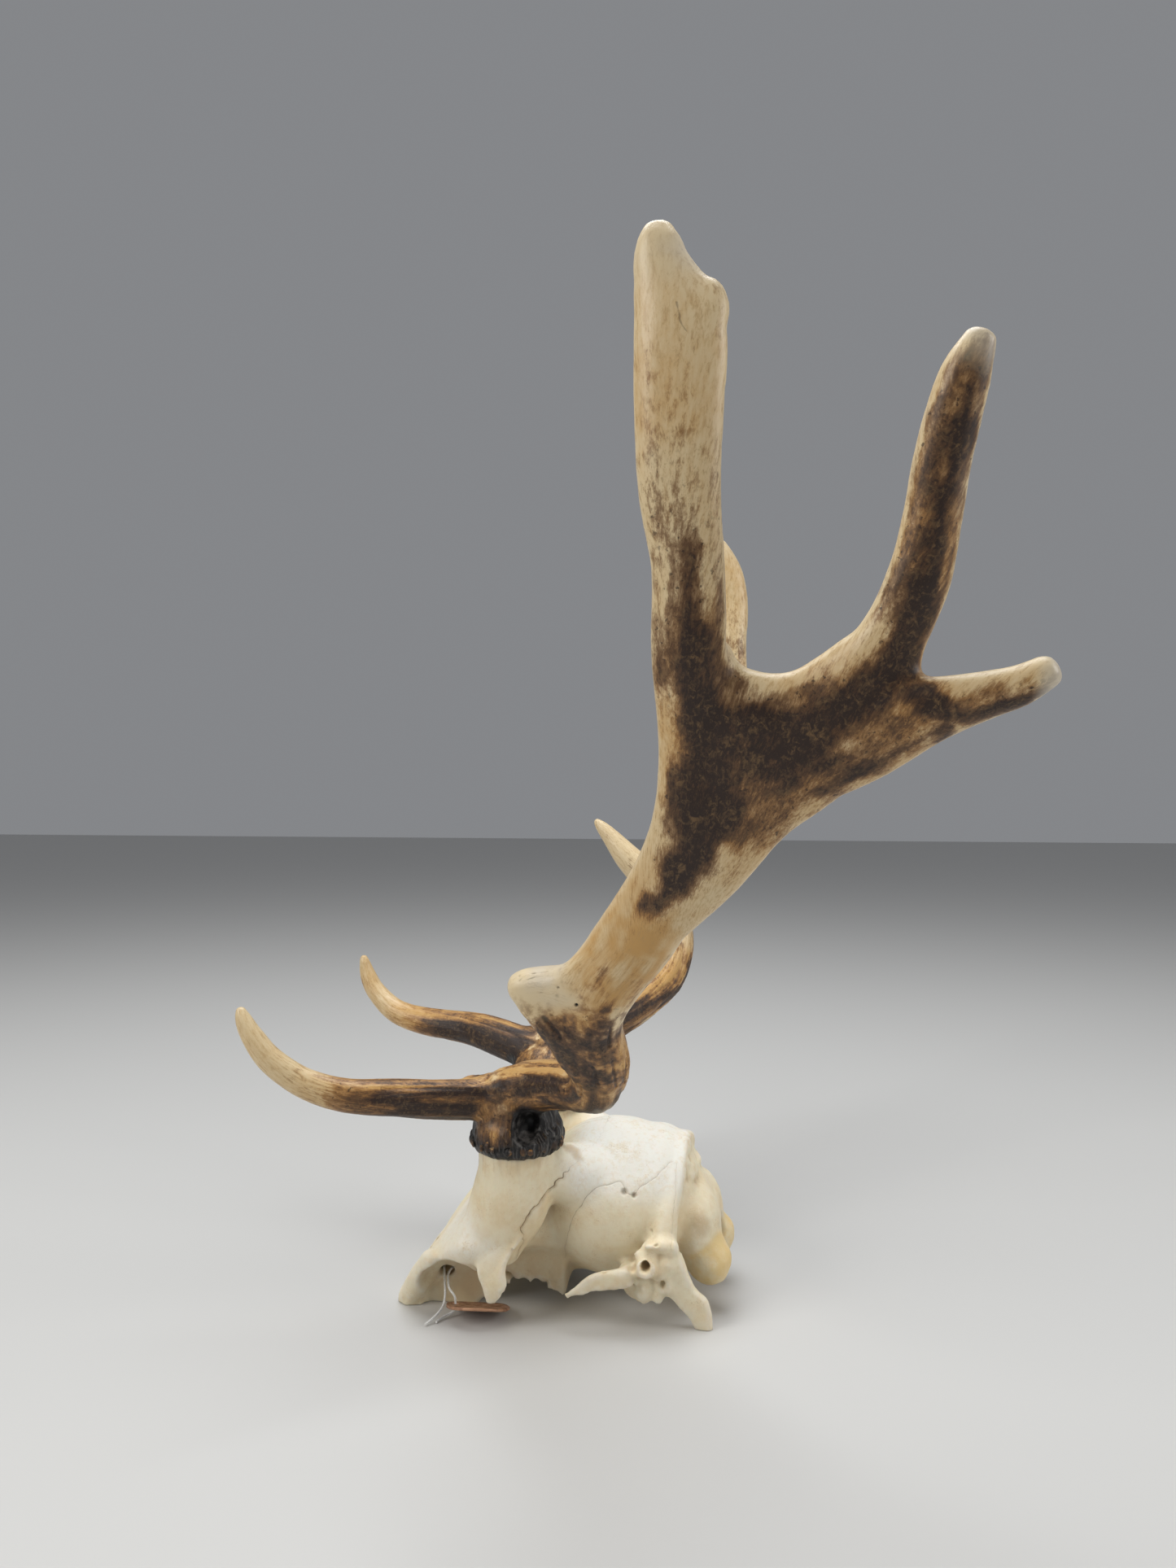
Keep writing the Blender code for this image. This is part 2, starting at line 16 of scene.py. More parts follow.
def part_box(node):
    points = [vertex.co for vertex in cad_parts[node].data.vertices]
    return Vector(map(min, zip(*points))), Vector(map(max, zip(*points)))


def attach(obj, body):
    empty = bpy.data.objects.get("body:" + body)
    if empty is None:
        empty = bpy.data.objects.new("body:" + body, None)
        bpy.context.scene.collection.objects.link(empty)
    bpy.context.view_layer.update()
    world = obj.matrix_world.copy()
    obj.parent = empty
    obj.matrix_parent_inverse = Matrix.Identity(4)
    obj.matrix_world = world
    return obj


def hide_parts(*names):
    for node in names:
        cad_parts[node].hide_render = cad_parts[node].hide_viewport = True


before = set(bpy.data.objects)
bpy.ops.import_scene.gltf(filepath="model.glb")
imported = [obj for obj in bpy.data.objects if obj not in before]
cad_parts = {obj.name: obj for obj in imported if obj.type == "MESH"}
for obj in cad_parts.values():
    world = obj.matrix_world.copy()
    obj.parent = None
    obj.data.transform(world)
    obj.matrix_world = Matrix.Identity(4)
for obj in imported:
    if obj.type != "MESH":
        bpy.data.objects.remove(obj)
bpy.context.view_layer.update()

MM = 0.001

# Where the lists' origin lies in the frame, read from the tag, whose middle they give.
TAG_CENTRE = (40.0, -39.2, 4.95)
tag_low, tag_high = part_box("hang_tag")
ORIGIN = (tag_low + tag_high) / 2 - Vector(TAG_CENTRE) * MM

# ---------------------------------------------------------------- driving sizes

BURR_CENTRE = (34.0, -24.0, 75.5)
BURR_DIAMETER = 40.0
BURR_HEIGHT = 9.0
TAG_DIAMETER = 26.0
TAG_THICKNESS = 1.4
TAG_TILT = 19.0
TAG_HOLE_DIAMETER = 3.6
TAG_HOLE_REACH = 9.6
# How far the disc's middle is dished, and how far its rim waves.
TAG_DISH = 0.18
TAG_WAVE = 0.22
TAG_RINGS = 10
TAG_SIDES = 144
STRING_DIAMETER = 1.0
STRING_STRANDS = 3
STRAND_RADIUS = 0.27
STRING_TURNS_PER_METRE = 330.0
STRING_POINT_SPACING = 0.35

ANTLER_VOXEL = 0.88
SKULL_VOXEL = 0.98
PEARL_VOXEL = 0.45

# The rings of a branch's domed end, as angles up from its rim, in degrees.
CAP_ANGLES = (25.0, 50.0, 72.0)
# A line is laid on a surface at the highest of the points that lie this near to it.
LIFT_REACH = 1.2
# The palm's grain fans out from a root, as (y, z). A turn about it is measured at a radius of its own.
FAN_ROOT = (36.0, 130.0)
FAN_RADIUS = 110.0
# How far apart the patterns of two branches' grain are kept.
GRAIN_SHIFT = 53.0

CAMERA_SPOT = (493.8, 78.2, 219.0)
CAMERA_TURN = 9.0
CAMERA_LENS = 26.154

# A station is (x, y, z, width, thickness): a point on a branch's centre line and the oval there.
LEFT_BRANCHES = {
    "beam": [
        (34, -24, 73, 30, 30), (35, -24, 83, 25, 25), (38, -20, 93, 23, 23), (48, -10, 99, 20, 20),
        (62, 3, 103, 19.5, 19), (80, 15, 108, 20, 19), (97, 19, 122, 23, 20), (113, 18, 140, 24, 20),
        (123, 24.6, 154.4, 25.5, 18), (133, 37, 170.8, 26, 17), (144, 49.2, 190.4, 25, 15),
        (152, 55.6, 208, 24, 13), (159, 57, 230, 22, 12.5), (170, 56, 257, 22, 12.5),
        (175, 56, 279, 21, 12.5), (180, 54, 300, 23, 12), (183, 54, 322, 25, 12),
        (185, 54.5, 341, 25.5, 12), (185, 51.4, 355, 20, 11), (185, 49.4, 361, 16, 10.5),
        (185, 48.7, 366.5, 12.4, 10), (185, 48.6, 369.5, 9, 8),
    ],
    "front_shoulder": [
        (185, 58, 336, 12, 10), (185, 61.2, 345, 13, 10.4), (185, 61.4, 350, 12, 9.6),
        (185, 60.9, 353, 9, 8),
    ],
    "rear_palm": [
        (133, 37, 170, 20, 15), (146, 57, 194, 28, 13), (154, 72, 213, 30, 12),
        (161, 90, 229, 33, 12), (166, 104, 244, 29, 12), (169.5, 112.5, 261, 20, 13),
        (174, 118.5, 275, 17.5, 13), (177.5, 121.5, 290, 16, 13), (181, 123.5, 304, 15.5, 12.5),
        (184.5, 125.8, 315, 15, 12), (187.5, 128.5, 325, 13.5, 11), (189.7, 132, 333.5, 8.5, 8),
    ],
    "palm_rim": [
        (161.5, 62, 258, 12, 11), (162.5, 65.5, 249, 14, 11), (163, 74, 245, 14, 11),
        (164, 84, 244.5, 14, 11), (165, 94, 248, 15, 11), (167, 103, 255, 15, 12),
    ],
    "lower_rear": [
        (158, 81, 219, 22, 11), (163, 103, 231, 26, 12), (168, 122, 239.5, 20, 12),
        (171.5, 136, 243, 14, 11), (174, 145, 245.5, 11.5, 10), (176, 152, 249.3, 9, 8.5),
    ],
    "web": [
        (148, 57, 198, 28, 11), (156, 68, 218, 40, 10.5), (162, 75, 234, 40, 10.5),
        (163.5, 78, 241, 34, 10.5),
    ],
    "brow": [
        (36, -24, 88, 20, 20), (42, -35, 90.5, 17.5, 16.5), (50, -53, 92, 16.5, 15),
        (57, -72, 93.5, 15.5, 14), (62, -89, 95.5, 13.8, 12.5), (66, -104, 101, 12, 11),
        (69, -116, 110, 10.6, 10), (70, -123, 119, 9, 8.6), (70, -127, 126, 6.8, 6.5),
        (70, -128.3, 130, 4, 4),
    ],
    "second": [
        (119, 20, 148, 21, 19), (120, 9, 151, 16, 16), (120, 0, 151.5, 13, 13.5),
        (120, -5, 150.5, 10.5, 11),
    ],
}

RIGHT_BRANCHES = {
    "beam": [
        (-34, -24, 73, 30, 30), (-35, -24, 83, 25, 25), (-38, -21, 93, 23, 23),
        (-50, -11, 98, 20, 20), (-66, 3, 103, 19.5, 19), (-83, 15, 109.5, 20, 19),
        (-100, 23.5, 118, 22, 20), (-113, 27, 132, 24, 20), (-121, 26, 148, 24, 19),
        (-130, 32, 168, 23, 17), (-142, 48, 190, 23, 15), (-151, 55, 208, 23, 13),
        (-159, 58, 230, 22, 12.5), (-170, 57, 257, 22, 12.5), (-176, 56, 279, 21, 12.5),
        (-180, 54, 300, 23, 12), (-184, 54, 322, 25, 12), (-185, 52, 339, 25, 12),
        (-185, 49, 352, 20, 11), (-185, 47, 361, 13, 9),
    ],
    "rear_palm": [
        (-131, 36, 170, 20, 15), (-145, 57, 194, 28, 13), (-153, 72, 213, 30, 12),
        (-160, 90, 229, 33, 12), (-165, 105, 244, 29, 12), (-169, 117, 259, 21, 13),
        (-173, 127, 273, 17.5, 13), (-177, 139, 289, 16, 13), (-180, 149, 301, 14, 12),
        (-181, 155, 309, 10, 9),
    ],
    "palm_rim": [
        (-161.5, 62, 258, 12, 11), (-162.5, 65.5, 249, 14, 11), (-163, 74, 245, 14, 11),
        (-164, 84, 244.5, 14, 11), (-165, 94, 248, 15, 11), (-167, 104, 254, 15, 12),
    ],
    "lower_rear": [
        (-157, 81, 219, 22, 11), (-162, 103, 231, 26, 12), (-167, 122, 239.5, 20, 12),
        (-170.5, 136, 242.5, 14, 11), (-173, 145, 245, 11.5, 10), (-175, 152, 249, 9, 8.5),
    ],
    "web": [
        (-147, 57, 198, 28, 11), (-155, 68, 218, 40, 10.5), (-161, 76, 234, 40, 10.5),
        (-163.5, 79, 241, 34, 10.5),
    ],
    "brow": [
        (-36, -24, 90, 20, 20), (-41, -39, 93.5, 18.5, 17.5), (-49, -57, 97, 17.3, 16),
        (-55, -71, 98.5, 16, 14.5), (-60, -92, 99.5, 13.8, 12.5), (-65, -109, 103, 12, 11),
        (-68.5, -121, 112, 10, 9.6), (-70, -126, 120, 8.4, 8), (-70, -128, 127, 5.6, 5.4),
        (-70, -128.5, 130, 3.6, 3.6),
    ],
    "second": [
        (-121, 26, 152, 22, 20), (-124, 13, 168, 18, 16), (-126, 2, 179, 14.5, 13),
        (-128, -6, 188, 10.8, 10), (-129.3, -12.5, 195, 7.2, 7), (-130, -16, 198.5, 4, 4),
    ],
}

# What fills the antler out between its branches, as lists of stations too.
# The first goes round the left burr and is mirrored for the right one.
BURR_FILLET = [
    (34, -24, 70.5, 37, 37), (34, -24, 77, 37.4, 37.4), (34.5, -23.5, 83.5, 35, 35),
    (36.5, -21.5, 89, 29, 29),
]
LEFT_FILLETS = [
    [(43, -43, 91.3, 16.5, 16.5), (41.5, -33, 92.6, 17.6, 17.6), (42, -24, 95.5, 20, 20),
     (46, -13, 98.5, 20, 20)],
    [(120.4, -2.6, 149.2, 9.6, 10), (119, 1, 145.6, 12.6, 12), (115.5, 7.5, 138, 15, 14),
     (108.5, 10.5, 130.5, 15, 14), (102.5, 13.5, 123.5, 15, 15), (98, 16.5, 117, 13, 14)],
    [(121.5, 4, 153, 9, 10), (125, 13.5, 156, 9, 11), (129, 21, 163.5, 8.5, 10), (133, 29, 172, 8, 9)],
]
RIGHT_FILLETS = [
    [(-43, -43, 94, 16.5, 16.5), (-41.5, -33, 94.5, 17.6, 17.6), (-43, -24, 96, 20, 20),
     (-48, -13, 98, 20, 20)],
]
# Where branches part and the skin between them is drawn smooth: (x, y, z, reach).
LEFT_FORK_PLACES = [
    (46, -27, 98, 17), (43, -22, 104, 12), (122, 13, 152, 24), (127, 12, 164, 16), (113, 9, 133, 17),
    (101, 13, 120, 12),
    (165, 64, 252, 15), (165, 84, 246, 14), (168, 105, 260, 20), (172, 121, 248, 15), (156, 66, 205, 16),
    (185, 57, 359, 7), (162, 84, 226, 18), (150, 56, 195, 14),
]
RIGHT_FORK_PLACES = [
    (-46, -27, 98, 17), (-43, -22, 104, 12), (-122, 22, 152, 19), (-124, 30, 164, 14),
    (-165, 65, 252, 15), (-165, 84, 246, 14), (-168, 107, 259, 20), (-172, 121, 250, 15),
    (-156, 66, 205, 16), (-162, 84, 226, 18), (-150, 56, 195, 14),
]
# The hollow in the burr's outer side, deep in front and shallow behind: (centre, radii). Then the place
# where its edge is rounded: (x, y, z, reach).
BURR_HOLLOW = ((53.5, -16.8, 82.2), (14, 5.6, 7))
BURR_RECESS = ((54, -10, 82), (11.5, 10, 7.4))
BURR_SOFT_EDGE = (49, -14.5, 83, 12)
# The plate that the burr's pearls stand on: how much smaller and lower than the burr it is.
BURR_PLATE_INSET = 1.2
BURR_PLATE_DROP = 1.6
# The pearls that ring the burr: a hanging row of long ones and a scattered row above it.
PEARL_ROWS = [
    {"Count": 38, "Ring Radius": 18.5, "Height": -2.2, "Smallest": (0.9, 0.9, 1.3),
     "Largest": (1.6, 1.6, 3.0), "Scatter": (0.6, 0.6, 0.8), "Seed": 3},
    {"Count": 26, "Ring Radius": 18.0, "Height": 2.0, "Smallest": (0.6, 0.6, 1.0),
     "Largest": (1.1, 1.1, 3.2), "Scatter": (0.5, 0.5, 2.0), "Seed": 11},
]

# Stains on the palms, as lines of spots (y, z, reach), alike on both faces and both antlers.
PALM_DARK = [
    [(58.5, 268, 1.5), (57.5, 257, 3), (58.5, 245, 5.5), (60.5, 234, 7.5), (61.5, 222, 8.5),
     (60.5, 210, 8), (56.5, 199.5, 6.5), (50, 189.5, 4), (45, 183, 2)],
    [(61, 237, 7), (73, 234.5, 8), (86, 232, 7.5), (97.5, 238, 6.5), (107, 246.5, 6), (114.5, 254, 5),
     (118, 262, 3.5), (119.5, 270, 2.5)],
    [(66, 228, 7), (80, 226, 6), (92, 228, 4)],
]
PALM_BROWN = [
    [(58, 283, 1), (57.5, 262, 6), (60, 240, 9), (62, 222, 10), (60, 207, 9), (53, 193, 7), (45, 181, 4)],
    [(66, 212, 9), (78, 222, 11), (90, 231, 11), (103, 241, 11), (114, 251, 9), (119, 264, 6)],
    [(68, 203, 6), (80, 212, 7), (92, 219.5, 7), (105, 228, 7), (118, 236, 6), (124, 241, 4)],
    [(117, 262, 7), (119, 275, 7), (121, 288, 6.5), (123.5, 300, 6.5), (126, 312, 6), (129, 325, 4)],
    [(117, 244, 7), (126, 239, 5), (136, 240, 4), (146, 242, 3), (151, 244, 2)],
]
# Thin dark marks on the rear tines and along the palm's lower edge.
TINE_STREAKS = [
    [(119.5, 268, 2), (122, 280, 1.8), (123, 292, 1.6), (125.5, 302, 1.8), (127.5, 310, 1.8), (129, 320, 1)],
    [(126, 303, 1.2), (130, 308, 2.2), (131, 313, 1)],
    [(119, 243, 3.5), (126, 237.5, 2.8), (133, 238, 2.2), (140, 240, 1.8), (147, 242, 1.4), (151, 243.5, 1)],
    [(126, 234.5, 2.4), (117.5, 230, 2.0), (109, 225.5, 1.8), (101, 220.5, 1.5), (93, 215.5, 1.1)],
]
# The golden stretch of the left beam below the palm, as (x, y, z, reach).
BEAM_GOLD = [
    [(116, 17, 146, 12), (124, 27, 158, 12), (134, 37, 172, 11), (142, 46, 184, 8), (150, 55, 200, 5)],
]
BEAM_RUST = [
    [(150, 40, 184, 1.6), (146, 35.5, 174, 2), (142, 33, 168, 1.2)],
    [(136, 27, 160, 1.8), (134, 24, 156, 1.2)],
    [(134, 21, 152.5, 1.6), (132, 18.5, 149.5, 1)],
]
ELBOW_DARK = [
    [(128, -3, 146, 3), (126, 1, 141, 5), (122, 6, 136, 9), (118, 12, 129, 12), (111, 16, 120, 13),
     (103, 17, 111, 12)],
    [(124, 22, 140, 5), (118, 21, 130, 7)],
]
ELBOW_GOLD = [[(110, 31, 129, 4), (107, 31.5, 122, 5), (104, 30.5, 114, 4)]]
ELBOW_GROOVES = [
    [(26, 124), (26.4, 118), (26.6, 111.5)], [(30.6, 124), (30.2, 118.5), (29.6, 113)],
    [(27, 138), (26, 130)], [(19, 122), (20, 114)], [(4.5, 141.5), (7.5, 138), (10, 134)],
]
KNOB_PALE = [
    [(121, -4, 151, 9), (122, 2, 154, 9), (125, 9, 155, 6)],
    [(126, 10, 150, 4), (128, 15, 149, 3)],
]
KNOB_PORES = [
    (129, 9.9, 149.4, 0.75), (129, 10.4, 152.5, 0.4), (128, 11.6, 146.3, 0.45), (128, 16.4, 146.9, 0.4),
    (123, -3.2, 154.4, 0.6),
]
HAIRLINES = [
    [(-3.4, 154.2), (-0.9, 156.2), (2.9, 157.3), (6.7, 157.8)], [(-0.5, 154.6), (3, 155.8), (6.5, 156.4)],
    [(54.3, 347), (54.7, 343.7), (55.5, 341.2), (56.8, 339.4)],
]

# The skull. A ball is (centre, radii).
BRAINCASE_BALLS = [
    ((0, 13, 40.5), (37, 36, 32.5)),
    ((0, 31, 42), (34, 19, 28.5)),
    ((0, 42, 34), (25, 14.5, 20)),
]
BRAINCASE_FLOOR = [(0, 48, 17, 26, 12), (0, 20, 15, 28, 12), (0, -14, 16, 34, 14)]
# The frontal bones, from back to front: (y, half width, top, rim, inner wall's x).
FOREHEAD = [
    (-6, 27, 62, 32, 22), (-20, 33, 60, 34, 22), (-30, 46, 56, 33, 23), (-40, 52, 49, 33, 26),
    (-49, 50, 40, 31, 27), (-61, 42, 25, 20, 27), (-72, 34, 11, 9, 27), (-77, 31, 4, 3, 28),
]
# The left side, as stations. The right side mirrors it.
PEDICLE = [
    (34, -24, 70.7, 33, 33), (34.2, -24, 62, 32, 32), (35.5, -26, 50, 33, 32), (37, -31, 37, 29, 26),
    (36, -33, 24, 18, 18),
]
SWELL_BEHIND_PEDICLE = [(31, -14, 60, 24, 22), (25, -3, 56, 26, 26), (18, 8, 52, 28, 30)]
FRONT_FOOT = [(43, -57, 25, 10, 8), (36, -65, 14, 10, 8), (30, -70, 4, 11, 8), (27, -71, -6, 11, 8)]
CREST = [(2, 42, 65, 7, 7), (18, 41, 59, 8, 8), (30, 38, 46, 9, 9), (35, 36, 30, 12, 11)]
EAR_TUBE = [(28, 28.5, 22.5, 9, 9), (38, 29.4, 25, 8.4, 8.4), (45.6, 30.1, 27.2, 8.2, 8.2)]
CONDYLE_NECK = [(10, 44, 35, 17, 17), (12.5, 51, 27, 17, 17), (14.4, 54, 20, 17, 18)]
SOCKET_SHOULDER = ((38, -41, 31), (11, 11, 12))
CONDYLE = ((14.5, 53.5, 20), (9.5, 10.2, 10.5))
BULLA = ((30, 27.5, 16), (8.5, 9, 8))
OCCIPUT = ((9, 47, 33), (17, 11.5, 17))
# Plates of bone on the left side, as outlines of (x, y, z, thickness).
BLADES = [
    # the bar behind the socket, broken off short
    [(43, -38, 34, 9), (41, -17, 42, 10), (44, -19.5, 36.5, 9), (47.5, -23, 31.9, 7), (49.5, -25.4, 27, 5.5),
     (50.5, -25.2, 22, 4.6), (50.8, -23.4, 19, 4.2), (50.6, -24.6, 17.2, 4), (50.2, -26.8, 15.6, 3.8),
     (50, -27.6, 13.2, 3.6), (49.6, -30, 12, 3.4), (49.3, -31.4, 10, 3.2), (49.2, -33.2, 10.6, 3.2),
     (49.8, -34.4, 16.7, 4), (49, -37, 22.6, 5.5)],
    # the root of the cheek bone, broken off
    [(39, 27, 27, 8), (43, 19.6, 25.6, 5), (44.6, 13, 25.2, 4.4), (45, 6.7, 22.6, 4), (44.6, 3, 19.6, 3.8),
     (44, -0.5, 16.4, 3.6), (43, -3.6, 13.7, 3.4), (43, -1.6, 11.6, 3), (43.4, 1.6, 13.4, 3),
     (43.8, 4.6, 13.4, 3), (44.2, 8, 16, 3.4), (44.2, 14, 16.4, 3.8), (43, 19.6, 17.6, 4.6),
     (40, 25, 18.6, 8)],
    # the spur behind the ear, that the skull stands on
    [(36, 36, 30, 8), (36, 34.4, 21, 8), (35.4, 37, 15.5, 7), (34.6, 42.4, 8.6, 5.6), (34, 46.8, 3.8, 5),
     (33.2, 51, -4, 4.6), (33, 56.4, -4, 4.6), (33.6, 55.4, 6.4, 4.8), (34.2, 53.9, 12.6, 5),
     (34.8, 50.6, 14.6, 5.4), (35.4, 48.4, 17.4, 6), (36, 46.2, 22.6, 7), (36.4, 43.6, 30, 8)],
]
# Bumps on the left side: (centre, radii).
BUMPS = [
    ((37.5, 31.2, 32.4), (4.2, 3.8, 3.6)), ((39, 35.6, 34.2), (3.6, 3.6, 3.2)),
    ((38, 39.8, 32.6), (4.2, 3.4, 4.6)), ((38.2, 38.6, 27), (4.4, 4.6, 4.4)),
    ((39.5, 35, 24), (3.6, 3, 3.6)), ((37, 37.5, 18.5), (4.4, 4, 4.6)),
    ((35.5, 28.5, 17), (5, 4.6, 8)), ((36, 22, 21.5), (6, 4, 4)),
    ((39.6, 33.4, 29.6), (2.6, 2.2, 3.4)), ((39.2, 28.0, 30.2), (2.6, 3.6, 2.2)),
    ((36.6, 34.6, 12.8), (2.6, 2.2, 3.6)), ((38.8, 37.6, 22), (2.2, 2.6, 4.2)),
    ((42, 31.6, 34.8), (1.8, 3.4, 1.5)),
]
# Where the plates' edges and roots are rounded, on the left side: (x, y, z, reach).
ROUNDED_PLACES = [
    (34, 45, 12, 13), (33, 52, 0, 11), (14, 54, 24, 18), (44, 4, 18, 8), (44, 16, 22, 9), (50, -26, 22, 9),
]
# Where a pedicle stands, as (x, y), and the pitted bone behind the ear: (x, y, z, reach).
PEDICLE_AXIS = (34.5, -25.0)
MASTOID_PATCH = (39, 36, 30, 12)
# Brown stains on the left side, as (x, y, z, reach): lines behind the pedicle and beside the crest, and
# patches on the neck.
STAIN_BEHIND_PEDICLE = [(30, -4, 67, 3.0), (30, 0, 64, 3.2), (31, -5, 58.5, 2.0), (34, -12, 50, 1.2)]
STAIN_BY_CREST = [(20, 30, 70, 1.5), (26, 33.5, 67, 2.5), (31, 37.5, 62, 2), (34, 40, 54, 1)]
NECK_STAINS = [(12, 54, 33, 7), (22, 50, 37, 8)]
# The block that cuts the skull off level at the floor.
FLOOR_BLOCK = (160, 240, 40)
# Edges along which the bone is chipped, on the left side.
CHIPPED_EDGES = [
    [(50.6, -23.2, 18.4), (50.2, -26.4, 14), (49.4, -31.4, 9.6), (49.2, -34.4, 12)],
    [(42.6, -4.2, 13), (43.4, -0.6, 10.8), (43.8, 4.6, 12.8), (44.2, 10, 15.2), (43.6, 18, 16.6)],
    [(33, -79, 0.6), (33, -69, 0), (33, -60, 0)],
    [(26, -33, 14), (22, -27, 9), (22, -19, 8), (24, -12, 10), (27, -6, 8)],
    [(41, 24, 18), (36, 26, 8), (32, 33, 8)],
]
# Hollows of the left side, mirrored on the right: (centre, radii, turn about Z).
SIDE_HOLLOWS = [
    ((52, -49, 10), (24, 14, 17), 0),
    ((42, -52, 9), (14.5, 13.5, 15), 0),
    ((50, -14, 12), (20, 10, 15), -14),
    ((24, -56, 14), (10, 3.4, 3.2), 0),
    ((49, 30.1, 27.6), (13, 2.2, 2.2), 0),
    ((45, 24.4, 26.2), (8, 2.1, 1.9), 0),
    ((45, 14.4, 28.2), (5, 1.3, 1.2), 0),
    ((41, 36.4, 19.4), (4.4, 1.3, 2.6), 0),
]
MIDDLE_HOLLOWS = [
    ((0, -54, -4), (19, 25, 30)),
    ((0, -24, -6), (40, 27, 17)),
    ((0, 58, 26), (8.4, 25, 8)),
]

# Sutures on the side of the skull as (y, z), and on its top as (x, y).
CORONAL = [(1.2, 65.7), (-3, 60.8), (-7.3, 56.5), (-13, 50), (-18.3, 43), (-18.8, 35), (-22.7, 25.5)]
SQUAMOSAL = [
    (-6.3, 20), (-5.9, 25.7), (-3.4, 34.6), (0, 43), (6.7, 52.4), (12.4, 55.3), (18.4, 56.3), (21, 53.2),
    (24.3, 51.7), (26.8, 54.8), (31.4, 57.3), (35.3, 60.8), (38.5, 63),
]
CREST_LINE = [(40.5, 62.4), (41.2, 53), (40.7, 43.5), (40, 34)]
CROWN_ACROSS = [(29, 2), (20, 6), (10, 8.5), (0, 9), (-10, 8.5), (-20, 6), (-29, 2)]
CROWN_ALONG = [(0, 9), (0.4, -10), (-0.4, -30), (0.5, -50), (0, -70)]
# Small openings in the bone of the left side: (y, z, radius).
SIDE_PITS = [(30.9, 38.3, 0.9), (34.2, 36.2, 1.0), (13.4, 25.7, 1.2), (20.3, 53.1, 1.3), (24.3, 51.7, 1.1)]
# Openings on top of the forehead, left side: (x, y, radius).
TOP_PITS = [(17, -43, 1.5), (16, -50, 0.9)]

# The string's way: from a loose end on the floor up into the hole in the socket's wall, back out, down
# through the tag's hole in a small loop, and to the other end on the floor.
STRING_WAY = [
    (49.6, -58.9, 0.55), (47.4, -57.2, 1.5), (44.6, -55.2, 2.9), (42.0, -53.9, 4.4), (40.2, -53.5, 6.0),
    (38.2, -53.7, 7.8), (35.4, -54.5, 10.2), (31.8, -55.8, 12.6), (28.2, -56.9, 13.9), (25.2, -57.9, 14.1),
    (22.9, -58.1, 14.1), (21.5, -57.4, 14.1), (21.0, -56.0, 14.1), (21.5, -54.6, 14.1), (22.9, -53.9, 14.1),
    (25.2, -54.0, 14.0), (28.0, -54.5, 13.8), (31.0, -54.5, 13.0), (34.2, -53.5, 11.7), (36.8, -52.4, 10.4),
    (38.6, -50.8, 9.6), (39.7, -49.3, 8.5), (40.1, -48.8, 6.6), (40.1, -48.9, 3.9), (40.3, -49.9, 2.3),
    (40.9, -51.5, 1.5), (42.2, -53.1, 1.0), (44.3, -54.3, 0.7), (46.8, -55.0, 0.55),
]


# ---------------------------------------------------------------- camera, light and floor

def add_object(name, data):
    """A new object in the scene."""
    obj = bpy.data.objects.new(name, data)
    bpy.context.scene.collection.objects.link(obj)
    return obj


def aim(obj, direction):
    """Turn an object so that its -Z looks along a direction."""
    obj.rotation_mode = "QUATERNION"
    obj.rotation_quaternion = Vector(direction).to_track_quat("-Z", "Y")


def make_camera():
    """The camera at the photograph's place: level, to the animal's left and a little behind it."""
    data = bpy.data.cameras.new("camera")
    data.sensor_width = 36.0
    data.lens = CAMERA_LENS
    data.clip_start = 0.01
    camera = add_object("camera", data)
    camera.location = Vector(CAMERA_SPOT) * MM + ORIGIN
    turn = math.radians(CAMERA_TURN)
    aim(camera, (-math.cos(turn), -math.sin(turn), 0.0))
    bpy.context.scene.camera = camera


def soft_light(name, spot, target, size, power, colour):
    """A square studio light that looks at a point."""
    data = bpy.data.lights.new(name, "AREA")
    data.size = size
    data.energy = power
    data.color = colour
    light = add_object(name, data)
    light.location = spot
    aim(light, Vector(target) - Vector(spot))


def make_studio():
    """Soft light from above and both sides, and a pale floor."""
    world = bpy.data.worlds.new("studio")
    bpy.context.scene.world = world
    world.use_nodes = True
    background = world.node_tree.nodes["Background"]
    background.inputs["Color"].default_value = (0.78, 0.80, 0.84, 1.0)
    background.inputs["Strength"].default_value = 0.30
    soft_light("overhead", (-0.1, -0.1, 1.2), (0.0, 0.0, 0.15), 0.9, 12.0, (0.96, 0.98, 1.0))
    soft_light("front_side", (0.75, -0.85, 0.75), (0.05, 0.0, 0.15), 0.6, 7.5, (1.0, 0.97, 0.92))
    soft_light("rear_side", (0.25, 1.1, 0.6), (0.0, 0.0, 0.15), 0.6, 6.0, (1.0, 0.98, 0.95))
    bpy.context.scene.view_settings.view_transform = "Standard"

    bpy.ops.mesh.primitive_plane_add(size=8.0, location=(0.0, 0.0, -0.0002))
    floor = bpy.context.object
    floor.name = "floor"
    material, _, _ = plain_material("pale floor", (0.55, 0.545, 0.53), 0.5)
    floor.data.materials.append(material)


# ---------------------------------------------------------------- numbers

def ramp(value, low, high):
    """0 below low and 1 above high, smooth between them. Low may be the larger."""
    t = np.clip((value - low) / (high - low), 0.0, 1.0)
    return t * t * (3.0 - 2.0 * t)


def lattice(x, y, z, seed):
    """A repeatable number from 0 to 1 for each whole point."""
    mask = 0xFFFFFFFF
    n = (x * 374761393 + y * 668265263 + z * 1442695041 + seed * 1013904223) & mask
    n = ((n ^ (n >> 13)) * 1274126177) & mask
    n = ((n ^ (n >> 15)) * 668265263) & mask
    return ((n ^ (n >> 16)) & 0xFFFF) / 65535.0


